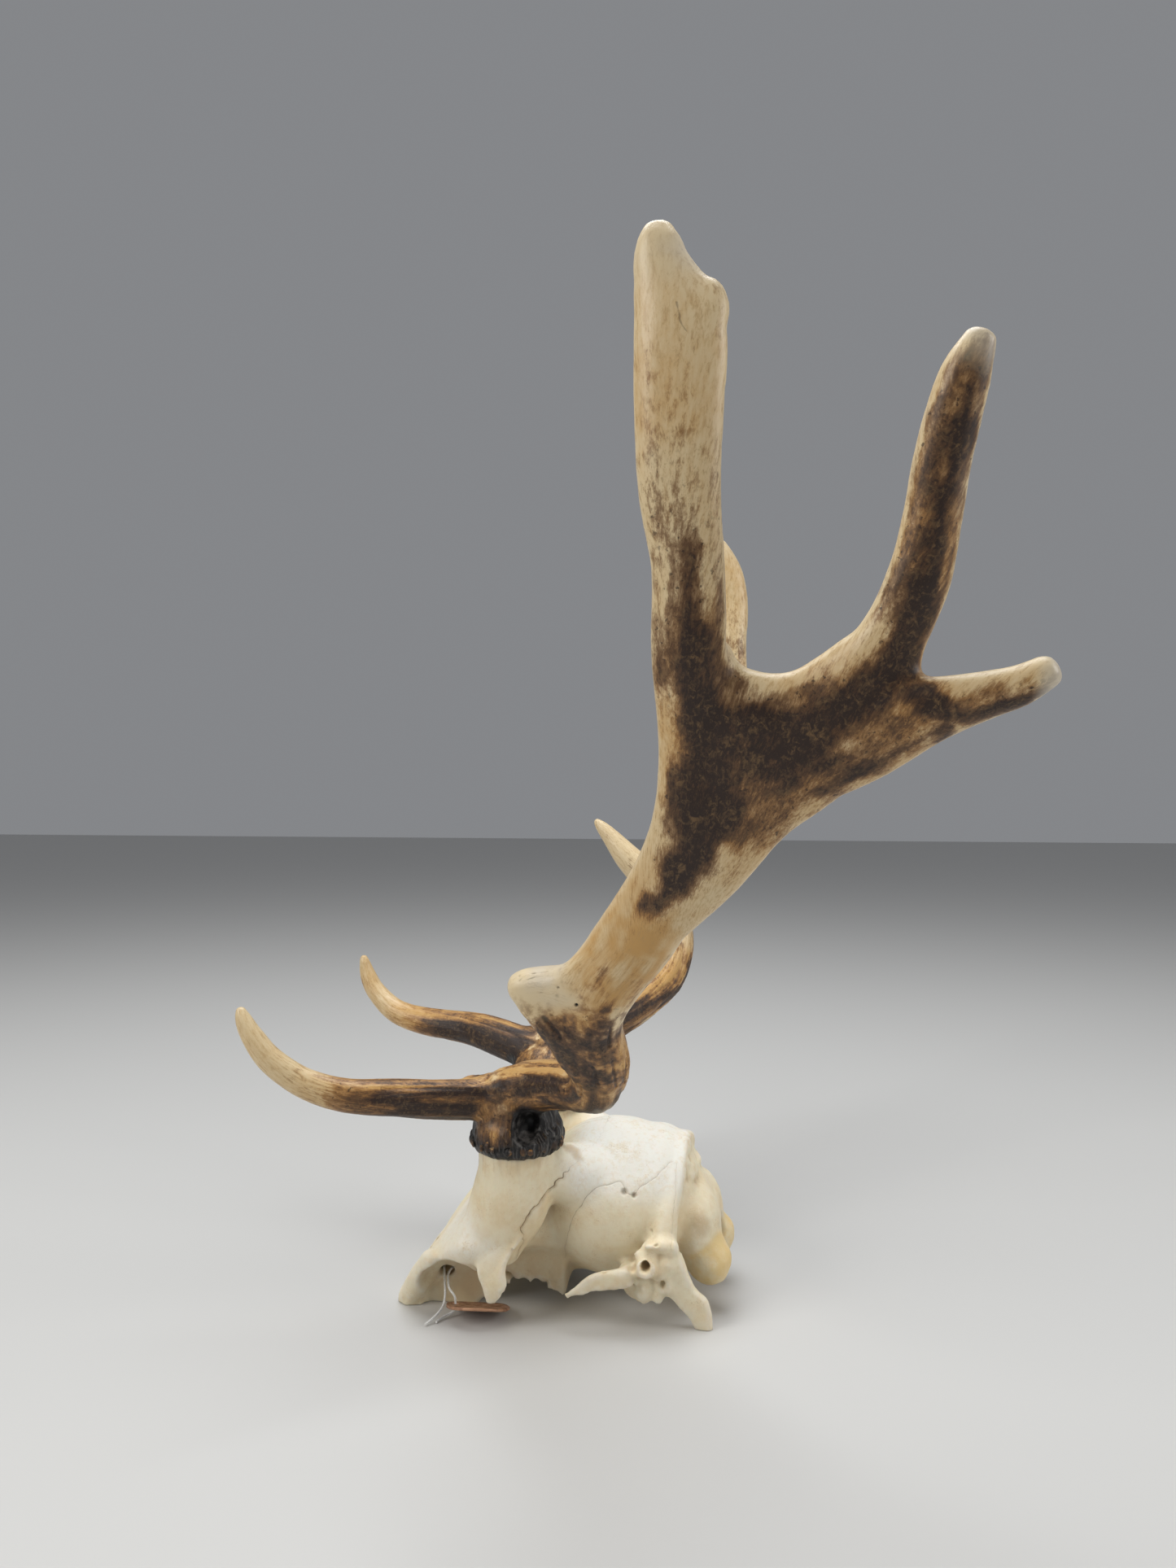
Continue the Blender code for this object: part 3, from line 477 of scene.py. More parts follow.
def noise(points, size, seed=0):
    """Smooth noise from -1 to 1, with blobs of a size, which may differ by axis."""
    place = points / np.asarray(size, float) + 997.0
    cell = np.floor(place).astype(np.int64)
    part = place - cell
    part = part * part * part * (part * (part * 6.0 - 15.0) + 10.0)
    value = np.zeros(len(points))
    for corner in range(8):
        ahead = np.array((corner & 1, corner >> 1 & 1, corner >> 2))
        weight = np.where(ahead, part, 1.0 - part).prod(axis=1)
        value += weight * lattice(*(cell + ahead).T, seed)
    return value * 2.0 - 1.0


def fractal(points, size, octaves, seed=0):
    """Noise with finer noise on it, each layer half as wide and half as strong."""
    value = np.zeros(len(points))
    strength = 1.0
    for octave in range(octaves):
        value += strength * noise(points, np.asarray(size, float) / 2 ** octave, seed + octave)
        strength /= 2.0
    return value


def spline(stations, steps):
    """Rows on a Catmull-Rom curve through the stations, whatever each one holds."""
    rows = np.array([stations[0], *stations, stations[-1]], float)
    t = np.arange(steps)[:, None] / steps
    out = []
    for p, q, r, s in zip(rows, rows[1:], rows[2:], rows[3:]):
        out.append(0.5 * (2 * q + (r - p) * t + (2 * p - 5 * q + 4 * r - s) * t ** 2
                          + (3 * q - p - 3 * r + s) * t ** 3))
    return np.concatenate([*out, rows[-1:]])


def dot(a, b):
    """Row by row dot product."""
    return np.einsum("ij,ij->i", a, b)


def unit(rows):
    """Rows brought to length 1."""
    return rows / np.maximum(np.linalg.norm(rows, axis=-1, keepdims=True), 1e-9)


def stroke(points, spots):
    """How deep points lie in a line of round spots, in mm: below 0 outside it.

    A spot is (y, z, reach), seen from the side, or (x, y, z, reach).
    """
    spots = np.array(spots, float)
    where = points[:, 1:] if spots.shape[1] == 3 else points
    best = np.full(len(points), -1e3)
    for a, b in zip(spots, spots[1:]):
        way = b[:-1] - a[:-1]
        t = np.clip((where - a[:-1]) @ way / (way @ way), 0.0, 1.0)
        gap = np.linalg.norm(where - a[:-1] - t[:, None] * way, axis=1)
        best = np.maximum(best, a[-1] + t * (b[-1] - a[-1]) - gap)
    return best


def strokes(points, lines):
    """The deepest of several strokes."""
    return np.max([stroke(points, spots) for spots in lines], axis=0)


def over(below, above):
    """One share laid over another, as paint is."""
    return below + above * (1.0 - below)


def both_sides(points):
    """Points of the right side mirrored on to the left."""
    return np.column_stack([np.abs(points[:, 0]), points[:, 1:]])


def near_spots(points, spots):
    """1 at the middle of any of the spots (x, y, z, reach), falling to 0 at its reach."""
    best = np.zeros(len(points))
    for *spot, reach in spots:
        gap = np.linalg.norm(points - np.array(spot), axis=1)
        best = np.maximum(best, ramp(gap, reach, reach * 0.35))
    return best


# ---------------------------------------------------------------- meshes

def new_object(name, mesh_maker):
    """An object from a bmesh in millimetres, turned into metres in the frame."""
    mesh_maker.transform(Matrix.Translation(ORIGIN) @ Matrix.Scale(MM, 4))
    mesh = bpy.data.meshes.new(name)
    mesh_maker.to_mesh(mesh)
    mesh_maker.free()
    return add_object(name, mesh)


def evaluated_mesh(obj):
    """What an object's modifiers make of its mesh or curve."""
    graph = bpy.context.evaluated_depsgraph_get()
    return bpy.data.meshes.new_from_object(obj.evaluated_get(graph))


def settle(obj):
    """Replace an object's mesh by what its modifiers make of it."""
    made = evaluated_mesh(obj)
    obj.modifiers.clear()
    before = obj.data
    obj.data = made
    made.name = obj.name
    bpy.data.meshes.remove(before)


def read_points(mesh):
    """A mesh's points in the lists' millimetres, and its normals."""
    points = np.empty(len(mesh.vertices) * 3, np.float32)
    normals = np.empty(len(mesh.vertices) * 3, np.float32)
    mesh.vertices.foreach_get("co", points)
    mesh.vertices.foreach_get("normal", normals)
    points = (points.reshape(-1, 3).astype(float) - np.array(ORIGIN)) / MM
    return points, normals.reshape(-1, 3).astype(float)


def write_points(mesh, points):
    """Put points in millimetres back into a mesh."""
    mesh.vertices.foreach_set("co", (points * MM + np.array(ORIGIN)).astype(np.float32).ravel())
    mesh.update()


def write_attribute(mesh, name, values):
    """Keep a number or a vector for each point of a mesh."""
    kind, field = ("FLOAT", "value") if values.ndim == 1 else ("FLOAT_VECTOR", "vector")
    attribute = mesh.attributes.new(name, kind, "POINT")
    attribute.data.foreach_set(field, values.astype(np.float32).ravel())


def write_marks(mesh, marks, most):
    """Keep several named numbers for each point of a mesh, none below 0 or above the most."""
    for name, values in marks.items():
        write_attribute(mesh, name, np.clip(values, 0, most))


def dress(obj, material):
    """Give a finished piece its only material, and smooth shading all over."""
    obj.data.materials.clear()
    obj.data.materials.append(material)
    obj.data.polygons.foreach_set("use_smooth", np.ones(len(obj.data.polygons), bool))


def face_outwards(mesh):
    """Turn every closed shell of a mesh outwards."""
    maker = bmesh.new()
    maker.from_mesh(mesh)
    bmesh.ops.recalc_face_normals(maker, faces=maker.faces)
    maker.to_mesh(mesh)
    maker.free()


def add_smoothing(obj, iterations):
    """A modifier that draws an object's skin smooth."""
    smooth = obj.modifiers.new("rounding", "SMOOTH")
    smooth.factor = 0.5
    smooth.iterations = iterations
    return smooth


def fuse(obj, voxel, iterations):
    """Make one closed skin of all the shapes in an object and round the joins between them."""
    face_outwards(obj.data)
    remesh = obj.modifiers.new("skin", "REMESH")
    remesh.mode = "VOXEL"
    remesh.voxel_size = voxel * MM
    add_smoothing(obj, iterations)
    settle(obj)


def round_off(obj, spots, iterations):
    """Draw the skin smooth round some places only."""
    points, _ = read_points(obj.data)
    strongest = 8
    levels = np.round(near_spots(points, spots) * strongest).astype(int)
    group = obj.vertex_groups.new(name="rounded")
    for level in range(1, strongest + 1):
        group.add(np.flatnonzero(levels == level).tolist(), level / strongest, "REPLACE")
    add_smoothing(obj, iterations).vertex_group = "rounded"
    settle(obj)
    obj.vertex_groups.clear()


def join_in(obj, other):
    """Put another object's mesh into this one's and remove the other."""
    maker = bmesh.new()
    maker.from_mesh(obj.data)
    maker.from_mesh(other.data)
    maker.to_mesh(obj.data)
    maker.free()
    bpy.data.objects.remove(other)


def combine(obj, other, operation):
    """Apply a Boolean of another object to this one and remove the other."""
    boolean = obj.modifiers.new("boolean", "BOOLEAN")
    boolean.operation = operation
    boolean.solver = "MANIFOLD"
    boolean.object = other
    settle(obj)
    bpy.data.objects.remove(other)


def refine(mesh, near):
    """Split the edges between marked points, so that fine lines have points of their own."""
    maker = bmesh.new()
    maker.from_mesh(mesh)
    maker.verts.ensure_lookup_table()
    edges = [edge for edge in maker.edges if near[edge.verts[0].index] and near[edge.verts[1].index]]
    bmesh.ops.subdivide_edges(maker, edges=edges, cuts=1, use_grid_fill=True)
    bmesh.ops.triangulate(maker, faces=[face for face in maker.faces if len(face.verts) > 4])
    maker.to_mesh(mesh)
    maker.free()


def calm(values):
    """A moving mean of five along a line, which keeps its ends."""
    padded = np.concatenate([values[:1], values[:1], values, values[-1:], values[-1:]])
    return np.convolve(padded, np.ones(5) / 5, "valid")


def lifted(points, spots, axes, height):
    """How high a surface lies at spots seen along one axis: the highest of the points near each."""
    found = []
    for first, second in spots:
        gap = np.hypot(points[:, axes[0]] - first, points[:, axes[1]] - second)
        near = np.flatnonzero(gap < LIFT_REACH)
        near = near if len(near) else np.array([gap.argmin()])
        found.append(height[near].max())
    return calm(np.array(found)) if len(found) > 5 else np.array(found)


def lift_to_side(points, spots, side):
    """Points on a surface's side at (y, z) spots."""
    reach = lifted(points, spots, (1, 2), side * points[:, 0])
    return np.column_stack([side * reach, np.array(spots, float)])


def lift_to_top(points, spots):
    """Points on a surface's top at (x, y) spots."""
    height = lifted(points, spots, (0, 1), points[:, 2])
    return np.column_stack([np.array(spots, float), height])


def off_line(points, normals, line, far=6.0):
    """Signed distance from a line, measured along the surface, or far where the line isn't near."""
    out = np.full(len(points), far)
    best = np.full(len(points), far)
    for a, b in zip(line, line[1:]):
        way = b - a
        if way @ way < 1e-9:
            continue
        close = np.flatnonzero(np.abs(points - (a + b) / 2).max(axis=1) < far + 2.0)
        t = np.clip((points[close] - a) @ way / (way @ way), 0.0, 1.0)
        gap = points[close] - a - t[:, None] * way
        gap -= 0.8 * normals[close] * dot(gap, normals[close])[:, None]
        distance = np.linalg.norm(gap, axis=1)
        nearer = distance < best[close]
        chosen = close[nearer]
        best[chosen] = distance[nearer]
        turn = dot(np.cross(gap[nearer], way), normals[chosen])
        out[chosen] = np.where(turn < 0, -distance[nearer], distance[nearer])
    return out


def bridge(maker, low, high):
    """Add the faces between two rings that have as many points."""
    for k in range(len(low)):
        after = (k + 1) % len(low)
        maker.faces.new((low[k], low[after], high[after], high[k]))


class Branch:
    """An oval tube along stations, and where points of a surface lie along and across it."""

    def __init__(self, stations, thin_way, steps=8):
        self.rows = spline(stations, steps)
        self.points = self.rows[:, :3]
        self.tangents = unit(np.gradient(self.points, axis=0))
        self.thin = np.empty_like(self.points)
        thin = np.array(thin_way, float)
        for k in reversed(range(len(self.points))):
            tangent = self.tangents[k]
            thin = unit(thin - tangent * (thin @ tangent))
            self.thin[k] = thin
        self.wide = np.cross(self.tangents, self.thin)
        lengths = np.linalg.norm(np.diff(self.points, axis=0), axis=1)
        self.run = np.concatenate([[0.0], np.cumsum(lengths)])

    def add_to(self, maker, bulge=0.3, sides=36):
        """Add the closed tube to a bmesh. Its ends bulge by a share of their thickness."""
        turns = np.arange(sides) * 2 * math.pi / sides
        rings = []
        for point, wide, thin, row in zip(self.points, self.wide, self.thin, self.rows):
            ring = (point + np.outer(np.cos(turns), wide) * row[3] / 2
                    + np.outer(np.sin(turns), thin) * row[4] / 2)
            rings.append([maker.verts.new(spot) for spot in ring])
        for low, high in zip(rings, rings[1:]):
            bridge(maker, low, high)
        for end, way in ((0, -1.0), (-1, 1.0)):
            reach = self.tangents[end] * way * self.rows[end, 4] * bulge
            self.add_cap(maker, rings[end], self.points[end], reach)

    def add_cap(self, maker, ring, middle, reach):
        """Close an end with a dome that reaches out from its middle, or with a flat fan."""
        edge = ring
        for angle in CAP_ANGLES if reach.any() else ():
            rise = math.sin(math.radians(angle))
            inset = math.cos(math.radians(angle))
            closer = [maker.verts.new(middle + reach * rise + (np.array(vert.co) - middle) * inset)
                      for vert in ring]
            bridge(maker, edge, closer)
            edge = closer
        tip = maker.verts.new(middle + reach)
        for k in range(len(edge)):
            maker.faces.new((edge[k], edge[(k + 1) % len(edge)], tip))

    def locate(self, points):
        """Run along the branch, offsets across and through it, and how far out (1 on its skin)."""
        nearest = np.concatenate([
            ((block[:, None] - self.points) ** 2).sum(2).argmin(1)
            for block in np.array_split(points, max(1, len(points) // 4000))])
        offset = points - self.points[nearest]
        along = self.run[nearest] + dot(offset, self.tangents[nearest])
        across = dot(offset, self.wide[nearest])
        through = dot(offset, self.thin[nearest])
        half = self.rows[nearest, 3:5] / 2
        out = np.hypot(across / half[:, 0], through / half[:, 1])
        past = np.maximum(0.0, np.maximum(-along, along - self.run[-1]))
        return along, across, through, out + past / half.min(axis=1)


def mirrored(stations, side):
    """Stations of the left side, put on the side that is asked for (1 is left, -1 is right)."""
    return [(side * x, *rest) for x, *rest in stations]


def add_ball(maker, centre, radii, turn=0.0, segments=48):
    """Add an ellipsoid to a bmesh, turned about Z by an angle in degrees."""
    spin = Matrix.Rotation(math.radians(turn), 4, "Z")
    place = Matrix.Translation(centre) @ spin @ Matrix.Diagonal((*radii, 1.0))
    bmesh.ops.create_uvsphere(maker, u_segments=segments, v_segments=segments // 2, radius=1.0, matrix=place)


# ---------------------------------------------------------------- node helpers

def link(tree, value, socket):
    """Set a socket from another socket, a colour or a number."""
    if isinstance(value, bpy.types.NodeSocket):
        tree.links.new(value, socket)
    elif isinstance(value, tuple) and socket.type == "RGBA":
        socket.default_value = (*value, 1.0)
    else:
        socket.default_value = value


def add_node(tree, kind, inputs=(), **settings):
    """A node with its settings and its inputs, which are named or numbered."""
    made = tree.nodes.new(kind)
    for key, value in settings.items():
        setattr(made, key, value)
    for key, value in inputs:
        link(tree, value, made.inputs[key])
    return made


def maths(tree, operation, a, b=0.5):
    """One sum."""
    return add_node(tree, "ShaderNodeMath", [(0, a), (1, b)], operation=operation).outputs[0]


def times(tree, a, b):
    """Two values multiplied."""
    return maths(tree, "MULTIPLY", a, b)


def vector_maths(tree, operation, a, b):
    """One sum of vectors. b is a number where a vector is scaled."""
    second = "Scale" if operation == "SCALE" else 1
    return add_node(tree, "ShaderNodeVectorMath", [(0, a), (second, b)], operation=operation).outputs[0]


def total(tree, *values):
    """The sum of several values."""
    sum_so_far = values[0]
    for value in values[1:]:
        sum_so_far = maths(tree, "ADD", sum_so_far, value)
    return sum_so_far


def centred(tree, value, share):
    """A value between 0 and 1, brought to lie about 0 and scaled."""
    return times(tree, maths(tree, "SUBTRACT", value, 0.5), share)


def plain_material(name, colour, roughness):
    """A Principled material: (material, tree, shader)."""
    material = bpy.data.materials.new(name)
    material.use_nodes = True
    tree = material.node_tree
    shader = tree.nodes["Principled BSDF"]
    shader.inputs["Base Color"].default_value = (*colour, 1.0)
    shader.inputs["Roughness"].default_value = roughness
    return material, tree, shader


def attribute(tree, name, output="Fac"):
    """A value that the mesh keeps for each point."""
    return add_node(tree, "ShaderNodeAttribute", attribute_name=name).outputs[output]


def object_place(tree):
    """Object coordinates."""
    return add_node(tree, "ShaderNodeTexCoord").outputs["Object"]


def cloud(tree, vector, scale, detail, roughness, distortion=0.0):
    """A Noise Texture's value, about 0.3 to 0.7."""
    return add_node(tree, "ShaderNodeTexNoise", [
        ("Vector", vector), ("Scale", scale), ("Detail", detail), ("Roughness", roughness),
        ("Distortion", distortion)]).outputs["Fac"]


def step(tree, value, low, high, to_low=0.0, to_high=1.0):
    """A smooth step of a value from one range to another."""
    return add_node(tree, "ShaderNodeMapRange", [
        ("Value", value), ("From Min", low), ("From Max", high), ("To Min", to_low), ("To Max", to_high)],
        interpolation_type="SMOOTHSTEP").outputs["Result"]


def blend(tree, factor, a, b):
    """One colour over another."""
    return add_node(tree, "ShaderNodeMix", [("Factor", factor), (6, a), (7, b)], data_type="RGBA").outputs[2]


def mix_number(tree, factor, a, b):
    """One value over another."""
    return add_node(tree, "ShaderNodeMix", [("Factor", factor), (2, a), (3, b)]).outputs[0]


def bump(tree, shader, height, distance, strength):
    """Fine relief, with its depth in metres."""
    made = add_node(tree, "ShaderNodeBump", [
        ("Distance", distance), ("Strength", strength), ("Height", height)])
    tree.links.new(made.outputs["Normal"], shader.inputs["Normal"])


# ---------------------------------------------------------------- finishes

CREAM = (0.64, 0.51, 0.31)
GOLD = (0.50, 0.29, 0.095)
STRAW = (0.40, 0.26, 0.115)
TAN = (0.26, 0.165, 0.085)
AMBER = (0.30, 0.15, 0.047)
UMBER = (0.105, 0.052, 0.022)
CHOCOLATE = (0.024, 0.012, 0.008)
FLECK = (0.22, 0.13, 0.055)
NEAR_BLACK_AND_SHADE = (0.009, 0.008, 0.008)
# grey of a painted sheen on the black burr
PAINTED_SHEEN_GREY = (0.15, 0.14, 0.13)
ASH = (0.50, 0.46, 0.39)
IVORY = (0.66, 0.55, 0.36)


def grain_cloud(tree, mottle, along, across, roughness, distortion):
    """Noise drawn out along the grain, fanned on the palm, and plain mottle where the grain is unsure."""
    drawn = []
    for way in ("grain", "palm_grain"):
        place = vector_maths(tree, "MULTIPLY", attribute(tree, way, "Vector"), (along, across, across))
        drawn.append(cloud(tree, place, 1.0, 4.0, roughness, distortion))
    mixed = mix_number(tree, attribute(tree, "fanned"), *drawn)
    return mix_number(tree, attribute(tree, "sure"), mottle, mixed)


def antler_stains(tree, colour, gold, tone, tone_map, hair, mottle):
    """Brown stains over an antler's colour, from tan to chocolate, with pale flecks and dark specks."""
    brown = blend(tree, step(tree, gold, 0.2, 0.8), TAN, AMBER)
    colour = blend(tree, step(tree, tone, 0.08, 0.42), colour, brown)
    colour = blend(tree, step(tree, tone, 0.34, 0.62), colour, UMBER)
    colour = blend(tree, step(tree, tone, 0.55, 0.88), colour, CHOCOLATE)
    curls = cloud(tree, object_place(tree), 480.0, 3.0, 0.6, 1.0)
    flecks = total(tree, centred(tree, hair, 0.7), centred(tree, curls, 1.2), centred(tree, mottle, 0.9))
    stained = step(tree, tone_map, 0.25, 0.6, 0.0, 0.62)
    colour = blend(tree, times(tree, step(tree, flecks, -0.05, 0.42), stained), colour, FLECK)
    dots = cloud(tree, object_place(tree), 620.0, 2.0, 0.5)
    dotted = step(tree, tone_map, 0.06, 0.3, 0.0, 0.75)
    return blend(tree, times(tree, step(tree, dots, 0.63, 0.72), dotted), colour, CHOCOLATE)


def antler_finish():
    """Antler: cream and gold, stained brown and black, with painted shade in the burr's hollow and the
    knob's pores, a painted grey sheen on the burr's ribs, a painted highlight on the palm's edges and a
    painted reflection under the elbow; streaked along the grain.
    """
    material, tree, shader = plain_material("antler", CREAM, 0.42)
    mottle = cloud(tree, object_place(tree), 150.0, 5.0, 0.65)
    fibre = grain_cloud(tree, mottle, 0.16, 1.1, 0.62, 0.3)
    hair = grain_cloud(tree, mottle, 0.5, 2.1, 0.65, 1.2)
    wide = cloud(tree, object_place(tree), 40.0, 3.0, 0.5)
    tone_map = attribute(tree, "tone")

    gold = total(tree, attribute(tree, "gold"), centred(tree, wide, 0.9), centred(tree, mottle, 0.5),
                 centred(tree, fibre, 0.7))
    colour = blend(tree, step(tree, gold, 0.0, 0.9), CREAM, GOLD)
    threads = total(tree, times(tree, fibre, 0.55), times(tree, hair, 0.45))
    colour = blend(tree, step(tree, threads, 0.47, 0.62, 0.0, 0.5), colour, STRAW)
    tone = total(tree, tone_map, times(tree, attribute(tree, "streak"), 0.10),
                 times(tree, attribute(tree, "furrow"), 0.42), centred(tree, fibre, 0.75),
                 centred(tree, hair, 0.55), centred(tree, mottle, 0.75))
    colour = antler_stains(tree, colour, gold, tone, tone_map, hair, mottle)

    # the burr's own black, with painted shade filling its hollow
    black_and_shade_amount = total(tree, attribute(tree, "black"), centred(tree, mottle, 0.5))
    # painted sheen: the raised grain in the black is lit grey, as a highlight
    sheen_on_ridges = step(tree, total(tree, fibre, centred(tree, hair, 0.4)), 0.48, 0.70, 0.0, 0.6)
    colour = blend(tree, step(tree, black_and_shade_amount, 0.25, 0.8), colour, blend(tree, sheen_on_ridges, NEAR_BLACK_AND_SHADE, PAINTED_SHEEN_GREY))
    # the worn knob and tips, with a painted highlight on the palm's edges and a painted reflection under the
    # elbow
    bare = total(tree, attribute(tree, "bare"), centred(tree, mottle, 0.4))
    pale = blend(tree, step(tree, wide, 0.4, 0.6), ASH, IVORY)
    colour = blend(tree, step(tree, bare, 0.1, 1.0, 0.0, 0.85), colour, pale)
    # painted shade: the knob's pores are filled with near black as if shadowed inside; the hairline cracks
    # are drawn dark
    colour = blend(tree, attribute(tree, "pore"), colour, NEAR_BLACK_AND_SHADE)
    link(tree, colour, shader.inputs["Base Color"])

    roughness = total(tree, step(tree, tone, 0.1, 0.9, 0.34, 0.46), centred(tree, mottle, 0.2))
    link(tree, roughness, shader.inputs["Roughness"])
    relief = total(tree, times(tree, fibre, 0.7), times(tree, hair, 0.4))
    relief = times(tree, relief, step(tree, attribute(tree, "relief"), 0.0, 1.0, 0.35, 1.0))
    bump(tree, shader, relief, 0.0006, 0.5)
    shader.inputs["Specular IOR Level"].default_value = 0.36
    return material


BONE = (0.72, 0.64, 0.46)
BONE_WARM = (0.66, 0.53, 0.33)
BONE_WHITE = (0.75, 0.73, 0.66)
# brown of real stains, also used for painted shade in hollows, creases and the eye socket
BONE_STAIN_AND_SHADE = (0.36, 0.24, 0.12)
BONE_SEAM = (0.16, 0.10, 0.05)
WAX = (0.68, 0.51, 0.24)


def draw_seam(tree, colour, fine, name, half_width, strength, widening):
    """One seam over the bone's colour: a thin dark line with a faint stained band along it."""
    field = attribute(tree, name, "Vector")
    off, distance, shown = add_node(tree, "ShaderNodeSeparateXYZ", [(0, field)]).outputs
    off = total(tree, maths(tree, "ABSOLUTE", off), centred(tree, fine, 0.5))
    off = maths(tree, "SUBTRACT", off, widening)
    line = step(tree, off, half_width * 1.9, half_width * 0.5, 0.0, strength)
    line = times(tree, step(tree, distance, 1.2, 0.7), line)
    colour = blend(tree, times(tree, line, shown), colour, BONE_SEAM)
    rim = step(tree, distance, 1.8, 0.1, 0.0, 0.22 * strength)
    return blend(tree, times(tree, rim, shown), colour, BONE_STAIN_AND_SHADE)


def bone_finish():
    """Bone: ivory, whiter on top, with brown seams and waxy yellow condyles."""
    material, tree, shader = plain_material("bone", BONE, 0.6)
    place = object_place(tree)
    wide = cloud(tree, place, 42.0, 5.0, 0.6)
    middle = cloud(tree, place, 130.0, 4.0, 0.6)
    fine = cloud(tree, place, 480.0, 4.0, 0.65)
    pores = cloud(tree, place, 1700.0, 2.0, 0.5)
    warm = total(tree, wide, centred(tree, middle, 0.4))
    colour = blend(tree, step(tree, warm, 0.38, 0.68), BONE, BONE_WARM)
    white = total(tree, attribute(tree, "white"), centred(tree, middle, 0.7))
    colour = blend(tree, step(tree, white, 0.0, 1.0, 0.0, 0.95), colour, BONE_WHITE)
    # painted shade: the bone is darkened in its hollows and creases as if shadowed, and made paler where it
    # bulges
    cavity = attribute(tree, "cavity")
    colour = blend(tree, step(tree, cavity, 0.04, 0.7, 0.0, 0.6), colour, BONE_STAIN_AND_SHADE)
    colour = blend(tree, step(tree, cavity, -0.05, -0.5, 0.0, 0.35), colour, BONE_WHITE)
    # real stains, and painted shade in the eye socket and the hollow behind it
    stain = total(tree, attribute(tree, "stain"), centred(tree, middle, 0.35), centred(tree, fine, 0.35))
    colour = blend(tree, step(tree, stain, 0.1, 1.1, 0.0, 0.9), colour, BONE_STAIN_AND_SHADE)
    mottle = total(tree, fine, centred(tree, middle, 0.5))
    colour = blend(tree, step(tree, mottle, 0.46, 0.70, 0.0, 0.35), colour, BONE_WARM)
    pores = total(tree, pores, centred(tree, middle, 0.8))
    colour = blend(tree, step(tree, pores, 0.66, 0.80, 0.0, 0.28), colour, BONE_STAIN_AND_SHADE)
    wax = total(tree, attribute(tree, "wax"), centred(tree, middle, 0.7))
    waxed = blend(tree, step(tree, wide, 0.50, 0.72), WAX, BONE)
    colour = blend(tree, step(tree, wax, 0.0, 0.9), colour, waxed)
    gap = times(tree, attribute(tree, "open_seam"), 0.12)
    for name, half_width, strength, widening in (
            ("coronal", 0.15, 0.85, gap), ("squamosal", 0.11, 0.45, 0.0), ("crest_line", 0.11, 0.4, 0.0),
            ("crown", 0.10, 0.35, 0.0)):
        colour = draw_seam(tree, colour, fine, name, half_width, strength, widening)
    # painted shade: the small openings are darkened as if shadowed inside
    colour = blend(tree, times(tree, attribute(tree, "pit"), 0.42), colour, BONE_SEAM)
    link(tree, colour, shader.inputs["Base Color"])
    link(tree, step(tree, fine, 0.35, 0.65, 0.48, 0.64), shader.inputs["Roughness"])
    shader.inputs["Subsurface Weight"].default_value = 0.08
    shader.inputs["Subsurface Scale"].default_value = 0.003
    relief = total(tree, times(tree, fine, 0.5), times(tree, middle, 0.8))
    bump(tree, shader, relief, 0.0006, 0.55)
    return material


def tag_finish():
    """Plain coppery brown disc, dull, with a darker patina and fine pale scratches."""
    material, tree, shader = plain_material("tag", (0.38, 0.21, 0.125), 0.5)
    place = object_place(tree)
    patina = cloud(tree, place, 260.0, 4.0, 0.6)
    drawn = vector_maths(tree, "MULTIPLY", place, (300.0, 2600.0, 2600.0))
    scratch = cloud(tree, drawn, 1.0, 2.0, 0.5)
    colour = blend(tree, step(tree, patina, 0.4, 0.65), (0.40, 0.22, 0.127), (0.22, 0.11, 0.065))
    colour = blend(tree, step(tree, scratch, 0.62, 0.75, 0.0, 0.4), colour, (0.58, 0.36, 0.24))
    link(tree, colour, shader.inputs["Base Color"])
    link(tree, step(tree, patina, 0.35, 0.65, 0.38, 0.6), shader.inputs["Roughness"])
    shader.inputs["Metallic"].default_value = 0.35
    bump(tree, shader, patina, 0.0001, 0.5)
    return material


def string_finish():
    """White cotton."""
    material, tree, shader = plain_material("string", (0.78, 0.78, 0.76), 0.85)
    fuzz = cloud(tree, object_place(tree), 2500.0, 3.0, 0.6)
    colour = blend(tree, step(tree, fuzz, 0.35, 0.65), (0.82, 0.82, 0.81), (0.60, 0.59, 0.56))
    link(tree, colour, shader.inputs["Base Color"])
    shader.inputs["Sheen Weight"].default_value = 0.4
    bump(tree, shader, fuzz, 0.0001, 0.6)
    return material


# ---------------------------------------------------------------- Geometry Nodes

def new_tree(name, inputs):
    """A Geometry Nodes tree with named inputs: (tree, its input node, its output socket)."""
    tree = bpy.data.node_groups.new(name, "GeometryNodeTree")
    tree.interface.new_socket("Geometry", in_out="INPUT", socket_type="NodeSocketGeometry")
    for label, kind in inputs:
        tree.interface.new_socket(label, in_out="INPUT", socket_type=kind)
    tree.interface.new_socket("Geometry", in_out="OUTPUT", socket_type="NodeSocketGeometry")
    inlet = tree.nodes.new("NodeGroupInput")
    outlet = tree.nodes.new("NodeGroupOutput")
    return tree, inlet, outlet.inputs[0]


def grow(obj, tree, values):
    """Run a Geometry Nodes tree on an object with its inputs set, and keep the plain mesh."""
    modifier = obj.modifiers.new(tree.name, "NODES")
    modifier.node_group = tree
    for item in tree.interface.items_tree:
        if item.in_out == "INPUT" and item.name in values:
            modifier[item.identifier] = values[item.name]
    made = evaluated_mesh(obj)
    made.name = obj.name
    name = obj.name
    bpy.data.objects.remove(obj)
    return add_object(name, made)


def random_vector(tree, low, high, seed):
    """A vector for each point, at random between two."""
    return add_node(tree, "FunctionNodeRandomValue", [(0, low), (1, high), ("Seed", seed)],
                    data_type="FLOAT_VECTOR").outputs[0]


